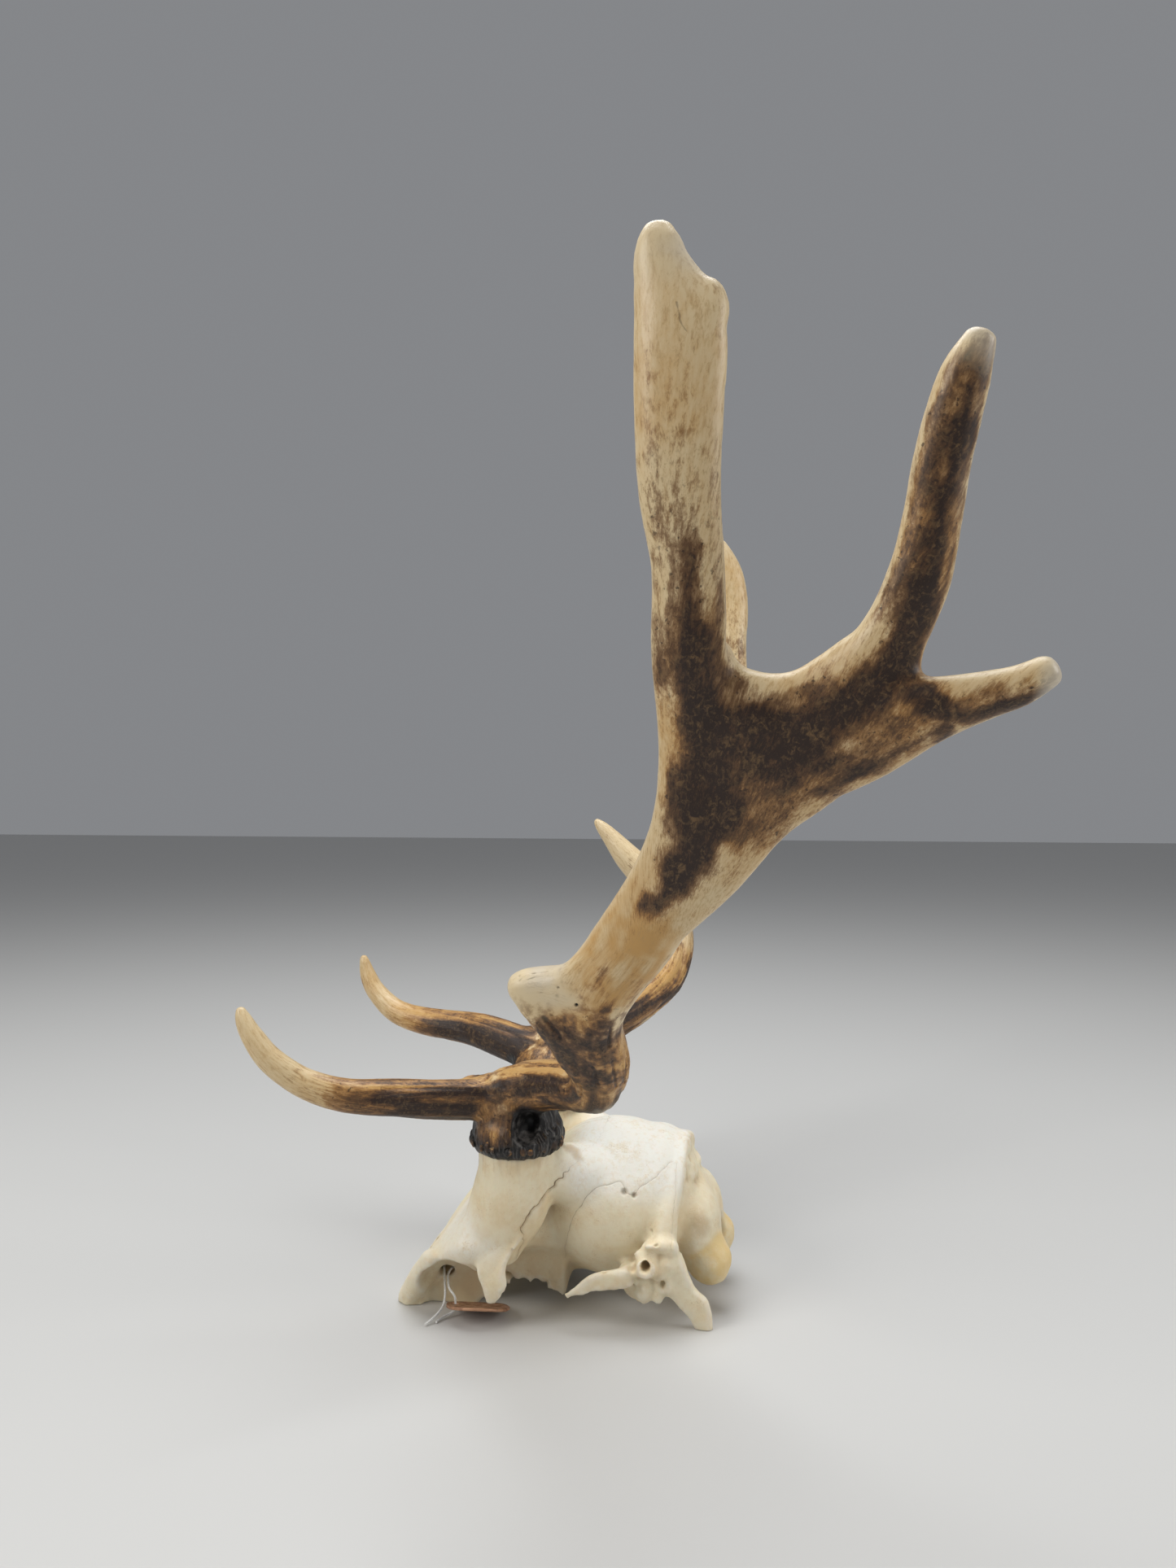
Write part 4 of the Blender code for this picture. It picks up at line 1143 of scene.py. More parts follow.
def pearl_ring_tree():
    """A ring of pearls, each of its own size and a little off the ring."""
    tree, inlet, out = new_tree("ring_of_pearls", [
        ("Count", "NodeSocketInt"), ("Ring Radius", "NodeSocketFloat"), ("Smallest", "NodeSocketVector"),
        ("Largest", "NodeSocketVector"), ("Scatter", "NodeSocketVector"), ("Seed", "NodeSocketInt"),
        ("Material", "NodeSocketMaterial")])
    value = {socket.name: socket for socket in inlet.outputs}
    ring = add_node(tree, "GeometryNodeMeshCircle",
                    [("Vertices", value["Count"]), ("Radius", value["Ring Radius"])])
    back = vector_maths(tree, "SCALE", value["Scatter"], -1.0)
    drift = random_vector(tree, back, value["Scatter"], value["Seed"])
    moved = add_node(tree, "GeometryNodeSetPosition", [("Geometry", ring.outputs[0]), ("Offset", drift)])
    size = random_vector(tree, value["Smallest"], value["Largest"], value["Seed"])
    pearl = add_node(tree, "GeometryNodeMeshIcoSphere", [("Radius", 1.0), ("Subdivisions", 3)])
    placed = add_node(tree, "GeometryNodeInstanceOnPoints", [
        ("Points", moved.outputs[0]), ("Instance", pearl.outputs[0]), ("Scale", size)])
    real = add_node(tree, "GeometryNodeRealizeInstances", [(0, placed.outputs[0])])
    done = add_node(tree, "GeometryNodeSetMaterial",
                    [("Geometry", real.outputs[0]), ("Material", value["Material"])])
    link(tree, done.outputs[0], out)
    return tree


def twisted_string_tree(strands):
    """Round strands twisted about a curve."""
    tree, inlet, out = new_tree("twisted_string", [
        ("Strand Radius", "NodeSocketFloat"), ("Off Middle", "NodeSocketFloat"),
        ("Turns Per Metre", "NodeSocketFloat"), ("Point Spacing", "NodeSocketFloat"),
        ("Material", "NodeSocketMaterial")])
    value = {socket.name: socket for socket in inlet.outputs}
    even = add_node(tree, "GeometryNodeResampleCurve",
                    [("Curve", value["Geometry"]), ("Length", value["Point Spacing"])], mode="LENGTH")
    run = add_node(tree, "GeometryNodeSplineParameter").outputs["Length"]
    normal = add_node(tree, "GeometryNodeInputNormal").outputs[0]
    tangent = add_node(tree, "GeometryNodeInputTangent").outputs[0]
    other = vector_maths(tree, "CROSS_PRODUCT", tangent, normal)
    profile = add_node(tree, "GeometryNodeCurvePrimitiveCircle",
                       [("Resolution", 8), ("Radius", value["Strand Radius"])])
    together = add_node(tree, "GeometryNodeJoinGeometry")
    turned = times(tree, times(tree, run, value["Turns Per Metre"]), 2 * math.pi)
    for k in range(strands):
        phase = maths(tree, "ADD", turned, 2 * math.pi * k / strands)
        swings = []
        for operation, way in (("COSINE", normal), ("SINE", other)):
            reach = times(tree, maths(tree, operation, phase), value["Off Middle"])
            swings.append(vector_maths(tree, "SCALE", way, reach))
        off = vector_maths(tree, "ADD", *swings)
        strand = add_node(tree, "GeometryNodeSetPosition", [("Geometry", even.outputs[0]), ("Offset", off)])
        tube = add_node(tree, "GeometryNodeCurveToMesh", [
            ("Curve", strand.outputs[0]), ("Profile Curve", profile.outputs[0]), ("Fill Caps", True)])
        link(tree, tube.outputs[0], together.inputs[0])
    done = add_node(tree, "GeometryNodeSetMaterial",
                    [("Geometry", together.outputs[0]), ("Material", value["Material"])])
    real = add_node(tree, "GeometryNodeRealizeInstances", [(0, done.outputs[0])])
    link(tree, real.outputs[0], out)
    return tree


# ---------------------------------------------------------------- antlers

def palm_face(side):
    """The way that a palm's outer face looks, which is also the thin way of every branch."""
    return (side * 0.93, 0.0, -0.37)


def burr_pearls(side, tree, material):
    """The pearls that ring the burr, both rows in one skin."""
    rings = []
    for row in PEARL_ROWS:
        values = {"Count": row["Count"], "Ring Radius": row["Ring Radius"] * MM,
                  "Seed": row["Seed"] + side, "Material": material}
        for label in ("Smallest", "Largest", "Scatter"):
            values[label] = tuple(size * MM for size in row[label])
        ring = grow(add_object("pearls", bpy.data.meshes.new("pearls")), tree, values)
        x, y, z = BURR_CENTRE
        centre = Vector((side * x, y, z + row["Height"])) * MM + ORIGIN
        ring.data.transform(Matrix.Translation(centre))
        rings.append(ring)
    pearls, upper = rings
    join_in(pearls, upper)
    fuse(pearls, PEARL_VOXEL, 1)
    return pearls


def antler_skin(name, branches, fillets, forks, side, pearls):
    """One antler in one skin: branches with rounded forks, then the burr's plate, pearls and hollow."""
    maker = bmesh.new()
    for branch in branches.values():
        branch.add_to(maker)
    for stations in [mirrored(BURR_FILLET, side), *fillets]:
        Branch(stations, palm_face(side)).add_to(maker, bulge=0.1)
    obj = new_object(name, maker)
    fuse(obj, ANTLER_VOXEL, 4)
    round_off(obj, forks, 110)

    maker = bmesh.new()
    x, y, z = BURR_CENTRE
    radius = BURR_DIAMETER / 2 - BURR_PLATE_INSET
    add_ball(maker, (side * x, y, z - BURR_PLATE_DROP), (radius, radius, BURR_HEIGHT / 3))
    join_in(obj, new_object("burr_plate", maker))
    fuse(obj, ANTLER_VOXEL, 2)
    combine(obj, pearls, "UNION")
    for (x, y, z), radii in (BURR_RECESS, BURR_HOLLOW):
        maker = bmesh.new()
        add_ball(maker, (side * x, y, z), radii)
        combine(obj, new_object("burr_cut", maker), "DIFFERENCE")
    round_off(obj, mirrored([BURR_SOFT_EDGE], side), 9)
    return obj


def locate_on_branches(points, branches):
    """Where points lie on every branch, each branch's share in them, and the branch they lie on."""
    places = {name: branch.locate(points) for name, branch in branches.items()}
    out = np.array([place[3] for place in places.values()])
    shares = np.exp(-7.0 * (out - out.min(axis=0)))
    shares /= shares.sum(axis=0)
    return places, dict(zip(places, shares)), out.argmin(axis=0)


def along_grain(places, shares, size, seed):
    """Noise drawn out along the branches: size is (along, across) in mm."""
    value = 0.0
    for k, (name, (along, across, through, _)) in enumerate(places.items()):
        grain = np.column_stack([along, across, through])
        value = value + shares[name] * noise(grain, (size[0], size[1], size[1]), seed + 7 * k)
    return value


def mark_lines(points, normals, side):
    """How near points lie to the hairline cracks and to the grooves in the elbow: 1 on them."""
    crack = np.zeros(len(points))
    groove = np.zeros(len(points))
    if side > 0:
        for spots in HAIRLINES:
            off = off_line(points, normals, lift_to_side(points, jagged(spots, 0.25, 77), side))
            crack = np.maximum(crack, ramp(np.abs(off) + 0.2 * noise(points, 1.5, 81), 0.30, 0.02))
        for spots in ELBOW_GROOVES:
            off = off_line(points, normals, lift_to_side(points, jagged(spots, 0.3, 79), side))
            groove = np.maximum(groove, ramp(np.abs(off), 1.1, 0.2))
    return crack, groove


def refine_marks(mesh, side):
    """Give the pores, cracks and grooves of the left antler finer faces."""
    if side < 0:
        return
    for reach in (2.4, 1.4):
        points, normals = read_points(mesh)
        near = near_spots(points, [(*spot, radius + reach) for *spot, radius in KNOB_PORES]) > 0
        for spots in HAIRLINES + ELBOW_GROOVES:
            off = off_line(points, normals, lift_to_side(points, spline(spots, 6), side))
            near |= np.abs(off) < reach * 0.7
        refine(mesh, near)


def survey_antler(points, normals, branches, side):
    """What the relief and the stains of an antler need to know of each of its points."""
    places, shares, owner = locate_on_branches(points, branches)
    x, y, z = points.T
    left = points * (side, 1, 1)
    brow, second = shares["brow"], shares["second"]
    # from the middle of the burr, and the burr's own grain, which stands upright round it
    burr = points - np.array((side * BURR_CENTRE[0], *BURR_CENTRE[1:]))
    burr_reach = np.hypot(burr[:, 0], burr[:, 1])
    turn = np.arctan2(burr[:, 1], burr[:, 0])
    upright = np.column_stack([z, np.cos(turn) * 19, np.sin(turn) * 19])
    # noises of about -1 to 1, and the waver of every stain's edge, in mm
    broad = along_grain(places, shares, (26, 3.6), 1)
    fine = along_grain(places, shares, (10, 1.8), 61)
    wander = 2.6 * fractal(points, 10.0, 3, 17) + 1.6 * along_grain(places, shares, (16, 2.4), 43)
    # furrowed low down, almost smooth on the palm and the tips
    fraction = {name: np.clip(places[name][0] / branches[name].run[-1], 0, 1) for name in branches}
    low_rough = (1 - brow) * ramp(z, 152, 112)
    rough = np.clip(0.06 + 0.94 * np.maximum(brow * ramp(fraction["brow"], 0.68, 0.25), low_rough), 0, 1)
    crack, groove = mark_lines(points, normals, side)
    pores = [(*spot, radius * 2.2) for *spot, radius in KNOB_PORES]
    return SimpleNamespace(
        points=points, normals=normals, x=x, y=y, z=z, up=normals[:, 2], side=side, left=left,
        places=places, shares=shares, owner=owner, brow=brow, second=second, fraction=fraction,
        burr=burr, burr_reach=burr_reach, upright=upright, broad=broad, fine=fine, wander=wander,
        crack=crack, groove=groove, pore=(side > 0) * near_spots(points, pores),
        low_rough=low_rough, rough=np.where(second > 0.5, rough * 0.4, rough),
        furrow=np.clip(1.0 - np.abs(along_grain(places, shares, (34, 2.9), 31)) * 3.0, 0, 1),
        ribs=noise(upright, (13, 1.7, 1.7), 101) + 0.5 * noise(upright, (7, 0.9, 0.9), 103),
        drum=ramp(burr_reach, 23, 20) * ramp(z, 95, 88),
        hollow=ramp(np.linalg.norm((left - BURR_HOLLOW[0]) / BURR_HOLLOW[1], axis=1), 1.26, 1.02),
        palm=ramp(z, 150, 172) * (1 - second),
        inner=ramp(np.abs(normals @ np.array(palm_face(side))), 0.35, 0.8),
        middling=ramp(strokes(points, PALM_BROWN) + 1.2 * wander, -6.0, 6.0) * ramp(z, 336, 322),
        bend=(side > 0) * ramp(strokes(left, ELBOW_DARK), -6.0, 0.0) * ramp(z, 104, 112) * (1 - brow))


def antler_relief(at):
    """How far each point of an antler is raised, in mm."""
    knots = fractal(at.points, 7.0, 2, 91)
    lumps = 0.20 * np.maximum(knots, 0) * at.low_rough
    lift = at.rough * (0.42 * at.broad - 0.55 * at.furrow + 0.16 * at.fine + lumps)
    lift += (1 - at.rough) * (0.07 * at.broad + 0.06 * knots)
    lift = (lift * (1 - at.drum) + 0.42 * at.drum * at.ribs) * (1 - 0.9 * at.hollow)
    lift -= 0.12 * at.crack + 0.55 * at.groove + 0.7 * at.pore
    return lift


def palm_tone(at):
    """How dark the palm and its tines are, from 0 for clean to 1 for chocolate."""
    deep = ramp(strokes(at.points, PALM_DARK) + at.wander, -5.0, 4.5)
    thin = ramp(strokes(at.points, TINE_STREAKS) + 0.7 * at.wander, -2.2, 1.8)
    tone = over(0.86 * deep, 0.50 * at.middling)
    tone = over(tone, 0.72 * thin)
    mottles = 0.5 * fractal(at.points, 4.0, 2, 19) + 0.5 * at.fine
    low_tine = at.shares["beam"] * ramp(at.z, 345, 262) * ramp(at.z, 230, 255)
    tone = over(tone, low_tine * np.clip(0.30 + 0.20 * at.broad + 0.20 * mottles, 0, 1))
    rear_tine = at.shares["rear_palm"] * ramp(at.z, 262, 275) * ramp(at.z, 337, 329)
    tone = over(tone, rear_tine * np.clip(0.24 + 0.20 * at.broad + 0.30 * mottles, 0, 1))
    # the stains fade toward the palm's edges, which are left pale as a painted highlight
    return tone * (0.35 + 0.65 * at.inner) * at.palm


def lay_beam_tone(at, tone):
    """The tone with the stains of the left elbow and the beam laid over it, the right elbow darker where it
    faces down and back, and the root darker round its sides and underneath than on top.
    """
    beam_low = (1 - at.brow) * (1 - at.second) * ramp(at.z, 168, 138)
    if at.side > 0:
        elbow = ramp(strokes(at.left, ELBOW_DARK) + 2.2 * at.wander, -9.0, 6.0)
    else:
        # the right elbow is darker where it faces down and back
        elbow = 0.8 * ramp(at.normals @ np.array((0.0, 0.6, -0.8)) + 0.07 * at.wander, 0.35, 0.85)
    patches = 0.26 * fractal(at.points, (3.6, 3.0, 4.0), 4, 23) + 0.12 * fractal(at.points, 1.3, 2, 27)
    elbow = elbow * np.clip(0.70 + 0.10 * at.broad * (1 - at.bend) + patches, 0.36, 1)
    tone = over(tone, elbow * beam_low * ramp(at.z, 100, 108))
    sprinkled = 0.15 if at.side > 0 else 0.08
    tone = over(tone, beam_low * sprinkled * np.clip(1 + 1.6 * fractal(at.points, 2.6, 3, 29), 0, 2.6))
    if at.side > 0:
        tone *= 1 - 0.65 * ramp(strokes(at.left, ELBOW_GOLD) + 0.5 * at.wander, -3.0, 2.0)
        tone = over(tone, 0.5 * ramp(strokes(at.left, BEAM_RUST) + 0.5 * at.wander, -2.0, 1.6))
    root = ramp(at.z, 116, 108) * (1 - at.brow) * (1 - at.second)
    # the root is darkest in a band round its sides, and darker underneath than on top
    band = ramp(at.up, 0.80, 0.35) * ramp(at.up, -0.45, -0.05)
    root_tone = 0.10 + 0.74 * band + 0.42 * ramp(at.up, -0.05, -0.45) + 0.34 * at.broad
    return np.where(root > 0, over(tone * (1 - root), root * np.clip(root_tone, 0, 1.1)), tone)


def lay_tine_tone(at, tone):
    """The tone of the brow tine, browner toward its base and darker on its sides and underneath than on top,
    and the stains of the right antler's second tine, laid over it.
    """
    toward_tip = ramp(at.fraction["brow"], 0.70, 0.36)
    # darker on the sides and underneath than on top
    sides = 0.62 * ramp(at.up, 0.85, 0.35) * ramp(at.up, -0.9, -0.3) + 0.30 * ramp(at.up, -0.3, -0.9)
    brow_tone = toward_tip * (0.14 + sides + 0.34 * at.broad + (0.22 if at.side < 0 else 0.0))
    brow_tone += 0.10 * ramp(at.fraction["brow"], 0.92, 0.6)
    tone = tone * (1 - at.brow) + at.brow * np.clip(brow_tone, 0, 1.1)
    if at.side < 0:
        dark = 0.5 * at.second * ramp(at.fraction["second"], 0.6, 0.1) * np.clip(0.6 + at.broad, 0, 1)
        tone = over(tone, dark)
    return tone


def gold_bare_and_highlight(at):
    """How golden an antler is, and how pale: the worn knob and tips, a painted highlight along the palm's
    edges and a painted reflection under the elbow.
    """
    gold = ramp(strokes(at.left, BEAM_GOLD) + 1.5 * at.wander, -8.0, 6.0)
    gold = np.maximum(gold, 0.85 * ramp(at.z, 150, 122) * (1 - at.brow))
    gold = np.maximum(gold, at.brow * (0.30 + 0.55 * ramp(at.fraction["brow"], 0.78, 0.48)))
    # the palm is less golden toward its edges, under their painted highlight
    gold = np.maximum(gold, at.palm * (0.34 + 0.25 * at.middling - 0.22 * (1 - at.inner)))
    knob = (at.side > 0) * ramp(strokes(at.left, KNOB_PALE) + 1.2 * at.wander, -8.0, 6.0)
    # painted reflection: the elbow's underside, where it faces down, is made pale as if lit from the floor
    beam = ramp(at.z, 104, 100.5) * ramp(at.y, 13, 18) * ramp(at.up, -0.2, -0.7) * 0.8
    pale = np.maximum(knob, beam)
    # pale tips, and a painted highlight along the palm's edges, where its faces turn away
    tips = np.maximum.reduce([
        0.8 * ramp(at.z, 338, 368), ramp(at.y, 145, 152) * at.palm,
        0.75 * at.shares["rear_palm"] * ramp(at.fraction["rear_palm"], 0.93, 1.0),
        at.palm * ramp(at.inner, 0.7, 0.0) * 0.35])
    gold *= 1 - 0.8 * pale
    gold *= 1 - 0.6 * tips
    return gold, np.maximum(0.8 * tips, 0.66 * pale)


def burr_black_shade_and_tone(at, tone):
    """How black the burr is, with painted shade filling the hollow under the beam, and the tone with the
    burr's own brown laid over it.
    """
    front = ramp(at.burr[:, 1], 3, -1) * ramp(at.burr[:, 1], -17, -11)
    black = at.drum * (0.84 - 0.80 * front * ramp(at.z, 73, 77) + 0.16 * at.ribs)
    # painted shade: the hollow under the beam is filled with black as its shadow
    black = np.maximum(black, 1.3 * at.hollow)
    hanging = ramp(at.burr_reach, 18.6, 19.8) * ramp(at.z, 77, 73.5)
    black -= 0.50 * hanging * np.clip(0.6 + noise(at.points, 5.0, 105), 0, 1)
    tone = over(tone * (1 - 0.3 * hanging), 0.5 * at.drum * np.clip(0.55 + at.ribs, 0, 1))
    tone *= 1 - 0.34 * front * ramp(at.z, 74, 80) * ramp(at.z, 98, 90) * (1 - at.hollow)
    return black, tone


def write_grain(mesh, at):
    """Keep how the grain runs at each point, and how far the patterns along it can be trusted there."""
    grains = np.array([np.column_stack(place[:3]) for place in at.places.values()])
    grain = grains[at.owner, np.arange(len(at.points))]
    grain = np.where(at.drum[:, None] > 0.5, at.upright, grain)
    write_attribute(mesh, "grain", grain + at.owner[:, None] * GRAIN_SHIFT)
    behind, above = at.y - FAN_ROOT[0], at.z - FAN_ROOT[1]
    fan = np.column_stack([np.hypot(behind, above), np.arctan2(above, behind) * FAN_RADIUS, at.x])
    write_attribute(mesh, "palm_grain", fan)
    write_attribute(mesh, "fanned", ramp(at.z, 160, 176) * (1 - at.second))
    surest = np.max(list(at.shares.values()), axis=0)
    sure = np.maximum(ramp(surest, 0.55, 0.85), ramp(at.z, 160, 176)) * (1 - 0.85 * at.bend)
    write_attribute(mesh, "sure", sure * (1 - at.hollow))
    write_attribute(mesh, "streak", (0.6 * at.broad + 0.5 * at.fine) * (1 - 0.7 * at.bend))
    furrow = at.furrow * at.rough * (1 - at.drum) * (1 - 0.8 * at.bend)
    write_attribute(mesh, "furrow", np.maximum(furrow, 0.6 * at.groove))


def finish_antler(obj, branches, side, material):
    """Raise the grain of an antler and mark where its colours lie."""
    mesh = obj.data
    refine_marks(mesh, side)
    at = survey_antler(*read_points(mesh), branches, side)
    lift = antler_relief(at)
    write_points(mesh, at.points + at.normals * lift[:, None])
    gold, bare = gold_bare_and_highlight(at)
    tone = lay_tine_tone(at, lay_beam_tone(at, palm_tone(at)))
    black, tone = burr_black_shade_and_tone(at, tone)
    write_grain(mesh, at)
    marks = {"tone": tone, "gold": gold, "black": black, "bare": bare,
             "pore": np.maximum(at.pore, 0.38 * at.crack), "relief": at.rough * (1 - at.hollow)}
    write_marks(mesh, marks, 1.4)
    dress(obj, material)


def make_antler(name, stations, fillets, forks, side, nodes, material, pearl_tree):
    """One whole antler, in place of its nodes."""
    branches = {label: Branch(rows, palm_face(side)) for label, rows in stations.items()}
    obj = antler_skin(name, branches, fillets, forks, side, burr_pearls(side, pearl_tree, material))
    finish_antler(obj, branches, side, material)
    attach(obj, "root")
    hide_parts(*nodes)


# ---------------------------------------------------------------- skull

def forehead_outline(y, half_width, top, rim, inner):
    """Outline of the frontal bones at one depth: flat on top, falling to a rim, stepped in below it."""
    right_half = [(0, top), (half_width * 0.6, top - 0.3), (half_width * 0.84, (top * 3 + rim) / 4),
                  (half_width, rim), (half_width - 2, rim - 7), (inner, rim - 12), (inner, -6)]
    left_half = [(-x, z) for x, z in reversed(right_half)]
    outline = right_half + [(0, -6)] + left_half[:-1]
    return [(x, y, z) for x, z in outline]


def add_forehead(maker):
    """Add the loft of the frontal bones."""
    rings = []
    for numbers in spline(FOREHEAD, 4):
        rings.append([maker.verts.new(point) for point in forehead_outline(*numbers)])
    for low, high in zip(rings, rings[1:]):
        bridge(maker, low, high)
    maker.faces.new(rings[0])
    maker.faces.new(rings[-1])


def add_blade(maker, outline, side):
    """Add a thin plate of bone from an outline of (x, y, z, thickness) points on the left side."""
    inner, outer = (
        [maker.verts.new((side * (x + way * thickness), y, z)) for x, y, z, thickness in outline]
        for way in (-0.5, 0.5))
    maker.faces.new(inner)
    maker.faces.new(outer)
    bridge(maker, inner, outer)


def add_bites(maker, side):
    """Add the small bites that are chipped from the broken edges, each of its own size."""
    for number, edge in enumerate(CHIPPED_EDGES):
        for k, (x, y, z) in enumerate(spline(edge, 4)):
            bite = 0.5 + 1.7 * lattice(k, number, side + 1, 5)
            shift = 1.6 * lattice(k, number, side + 1, 6) - 0.4
            add_ball(maker, (side * x, y, z - shift), (4.5, bite * 0.8, bite), segments=10)


def add_skull_side(maker, side):
    """Add what each side of the skull has: pedicle, socket rim, crest, condyle and ear."""
    across, upright = (1, 0, 0), (0, 0, 1)
    Branch(mirrored(PEDICLE, side), across).add_to(maker, bulge=0)
    Branch(mirrored(SWELL_BEHIND_PEDICLE, side), upright).add_to(maker)
    Branch(mirrored(FRONT_FOOT, side), across).add_to(maker)
    Branch(mirrored(CREST, side), (0, 1, 0)).add_to(maker)
    Branch(mirrored(CONDYLE_NECK, side), across).add_to(maker)
    for (x, y, z), radii in (SOCKET_SHOULDER, CONDYLE, BULLA, OCCIPUT):
        add_ball(maker, (side * x, y, z), radii)


def skull_skin():
    """The skull in one skin: round parts first, then its thin plates, then what is hollow."""
    maker = bmesh.new()
    for centre, radii in BRAINCASE_BALLS:
        add_ball(maker, centre, radii)
    add_forehead(maker)
    for side in (-1, 1):
        add_skull_side(maker, side)
    Branch(BRAINCASE_FLOOR, (0, 0, 1)).add_to(maker)
    skull = new_object("skull_bone", maker)
    fuse(skull, SKULL_VOXEL, 12)

    maker = bmesh.new()
    for side in (-1, 1):
        for outline in BLADES:
            add_blade(maker, outline, side)
        for (x, y, z), radii in BUMPS:
            add_ball(maker, (side * x, y, z), radii, segments=20)
        Branch(mirrored(EAR_TUBE, side), (0, 0, 1)).add_to(maker, bulge=0)
    join_in(skull, new_object("plates", maker))
    fuse(skull, SKULL_VOXEL, 4)
    round_off(skull, [(side * x, y, z, reach) for side in (-1, 1) for x, y, z, reach in ROUNDED_PLACES], 25)

    maker = bmesh.new()
    for side in (-1, 1):
        for (x, y, z), radii, turn in SIDE_HOLLOWS:
            add_ball(maker, (side * x, y, z), radii, side * turn)
        add_bites(maker, side)
    for centre, radii in MIDDLE_HOLLOWS:
        add_ball(maker, centre, radii)
    hollows = new_object("hollows", maker)
    fuse(hollows, SKULL_VOXEL * 0.75, 1)
    combine(skull, hollows, "DIFFERENCE")
    fuse(skull, SKULL_VOXEL, 2)
    return skull


def jagged(spots, swing, seed):
    """A line's way on a surface: smooth through the spots, with a zigzag across it."""
    line = spline(spots, 10)
    way = unit(np.gradient(line, axis=0))
    run = np.concatenate([[0.0], np.cumsum(np.linalg.norm(np.diff(line, axis=0), axis=1))])
    along = np.column_stack([run, run * 0, run * 0])
    zigzag = noise(along, 1.6, seed) + 0.6 * noise(along, 4.5, seed + 1)
    return line + np.column_stack([-way[:, 1], way[:, 0]]) * (swing * zigzag)[:, None]


def nearest_of(fields):
    """Of several signed distances, the one nearest to 0 at each point."""
    stacked = np.array(fields)
    return stacked[np.abs(stacked).argmin(axis=0), np.arange(stacked.shape[1])]


def seam_fields(points, normals):
    """Signed distances from the skull's seams, by name: on both sides, and on the crown both ways."""
    seams = {}
    for name, spots, swing, seed in (
            ("coronal", CORONAL, 0.7, 5), ("squamosal", SQUAMOSAL, 0.35, 9),
            ("crest_line", CREST_LINE, 0.3, 13)):
        way = jagged(spots, swing, seed)
        seams[name] = nearest_of([
            off_line(points, normals, lift_to_side(points, way, side)) for side in (-1, 1)])
    seams["crown"] = nearest_of([
        off_line(points, normals, lift_to_top(points, jagged(spots, 0.7, seed)))
        for spots, seed in ((CROWN_ACROSS, 21), (CROWN_ALONG, 23))])
    return seams


def pit_spots(points):
    """The small openings in the bone, as (x, y, z, radius) on its surface."""
    spots = []
    for side in (-1, 1):
        for y, z, radius in SIDE_PITS:
            spots.append((*lift_to_side(points, [(y, z)], side)[0], radius))
        for x, y, radius in TOP_PITS:
            spots.append((*lift_to_top(points, [(side * x, y)])[0], radius))
    return spots


def refine_seams(mesh):
    """Give the skull's seams and pits finer faces."""
    for reach in (1.5, 0.8):
        points, normals = read_points(mesh)
        seams = seam_fields(points, normals)
        near = np.min([np.abs(values) for values in seams.values()], axis=0) < reach
        near |= near_spots(points, [(*spot, radius + reach) for *spot, radius in pit_spots(points)]) > 0
        refine(mesh, near)


def survey_skull(points, normals):
    """What the relief and the stains of the skull need to know of each of its points."""
    folded = both_sides(points)
    side_x, y, z = folded.T
    # fibres run up the pedicles and down the frontal bones
    off_x, off_y = side_x - PEDICLE_AXIS[0], y - PEDICLE_AXIS[1]
    pedicle = ramp(np.hypot(off_x, off_y), 20.5, 17) * ramp(z, 30, 50)
    turn = np.arctan2(off_y, off_x)
    upright = np.column_stack([z, np.cos(turn) * 18, np.sin(turn) * 18 + 60 * (points[:, 0] < 0)])
    stripes = noise(upright, (18, 0.8, 0.8), 41) + 0.7 * noise(upright, (9, 1.7, 1.7), 43)
    torn = np.zeros(len(points))
    for edge in CHIPPED_EDGES:
        torn = np.maximum(torn, ramp(stroke(folded, [(*spot, 0.0) for spot in edge]), -6.0, -2.5))
    plain = 1.0 + 0 * z
    return SimpleNamespace(
        points=points, folded=folded, y=y, z=z, pedicle=pedicle, stripes=stripes, torn=torn,
        # porous bumps on the neck's crest, and open cells there and behind the ear
        porous=ramp(y, 41.5, 46) * ramp(z, 42, 54) * ramp(side_x, 34, 27),
        mastoid=near_spots(folded, [MASTOID_PATCH]),
        cells=noise(points, 2.2, 51),
        pit=near_spots(points, [(*spot, radius * 1.5) for *spot, radius in pit_spots(points)]),
        seams=seam_fields(points, normals),
        open_seam=ramp(z, 38, 46) * ramp(z, 63, 56),
        fading={"coronal": 0.15 + 0.85 * ramp(z, 64.5, 59), "squamosal": plain, "crest_line": plain,
                "crown": 0.3 + 0.7 * ramp(side_x, 6, 3)})


def skull_relief(at):
    """How far each point of the skull is raised, in mm."""
    lift = 0.09 * fractal(at.points, 5.0, 3, 3) + 0.28 * noise(at.points, 15.0, 8)
    lift += 0.17 * at.pedicle * at.stripes
    lumps = 1.7 * np.maximum(noise(at.points, 7.0, 53) - 0.05, 0)
    lift += at.porous * (lumps + 0.45 * fractal(at.points, 3.0, 2, 57))
    lift -= at.porous * 0.5 * np.maximum(at.cells - 0.45, 0)
    lift += at.mastoid * (0.6 * noise(at.points, 4.5, 55) - 0.5 * np.maximum(at.cells - 0.2, 0))
    neck = ramp(at.y, 44, 50) * (1 - at.porous)
    lift += neck * 0.45 * fractal(at.points, 8.0, 2, 59)
    lift += at.torn * 0.5 * (noise(at.points, 2.2, 63) + 0.5 * noise(at.points, 1.3, 65))
    for name, depth, half_width in (
            ("coronal", 0.16 + 0.5 * at.open_seam, 0.26 + 0.18 * at.open_seam),
            ("squamosal", 0.12, 0.28), ("crest_line", 0.10, 0.28), ("crown", 0.12, 0.28)):
        lift -= at.fading[name] * depth * ramp(np.abs(at.seams[name]) / half_width, 2.2, 0.3)
    lift -= 1.1 * at.pit
    return lift


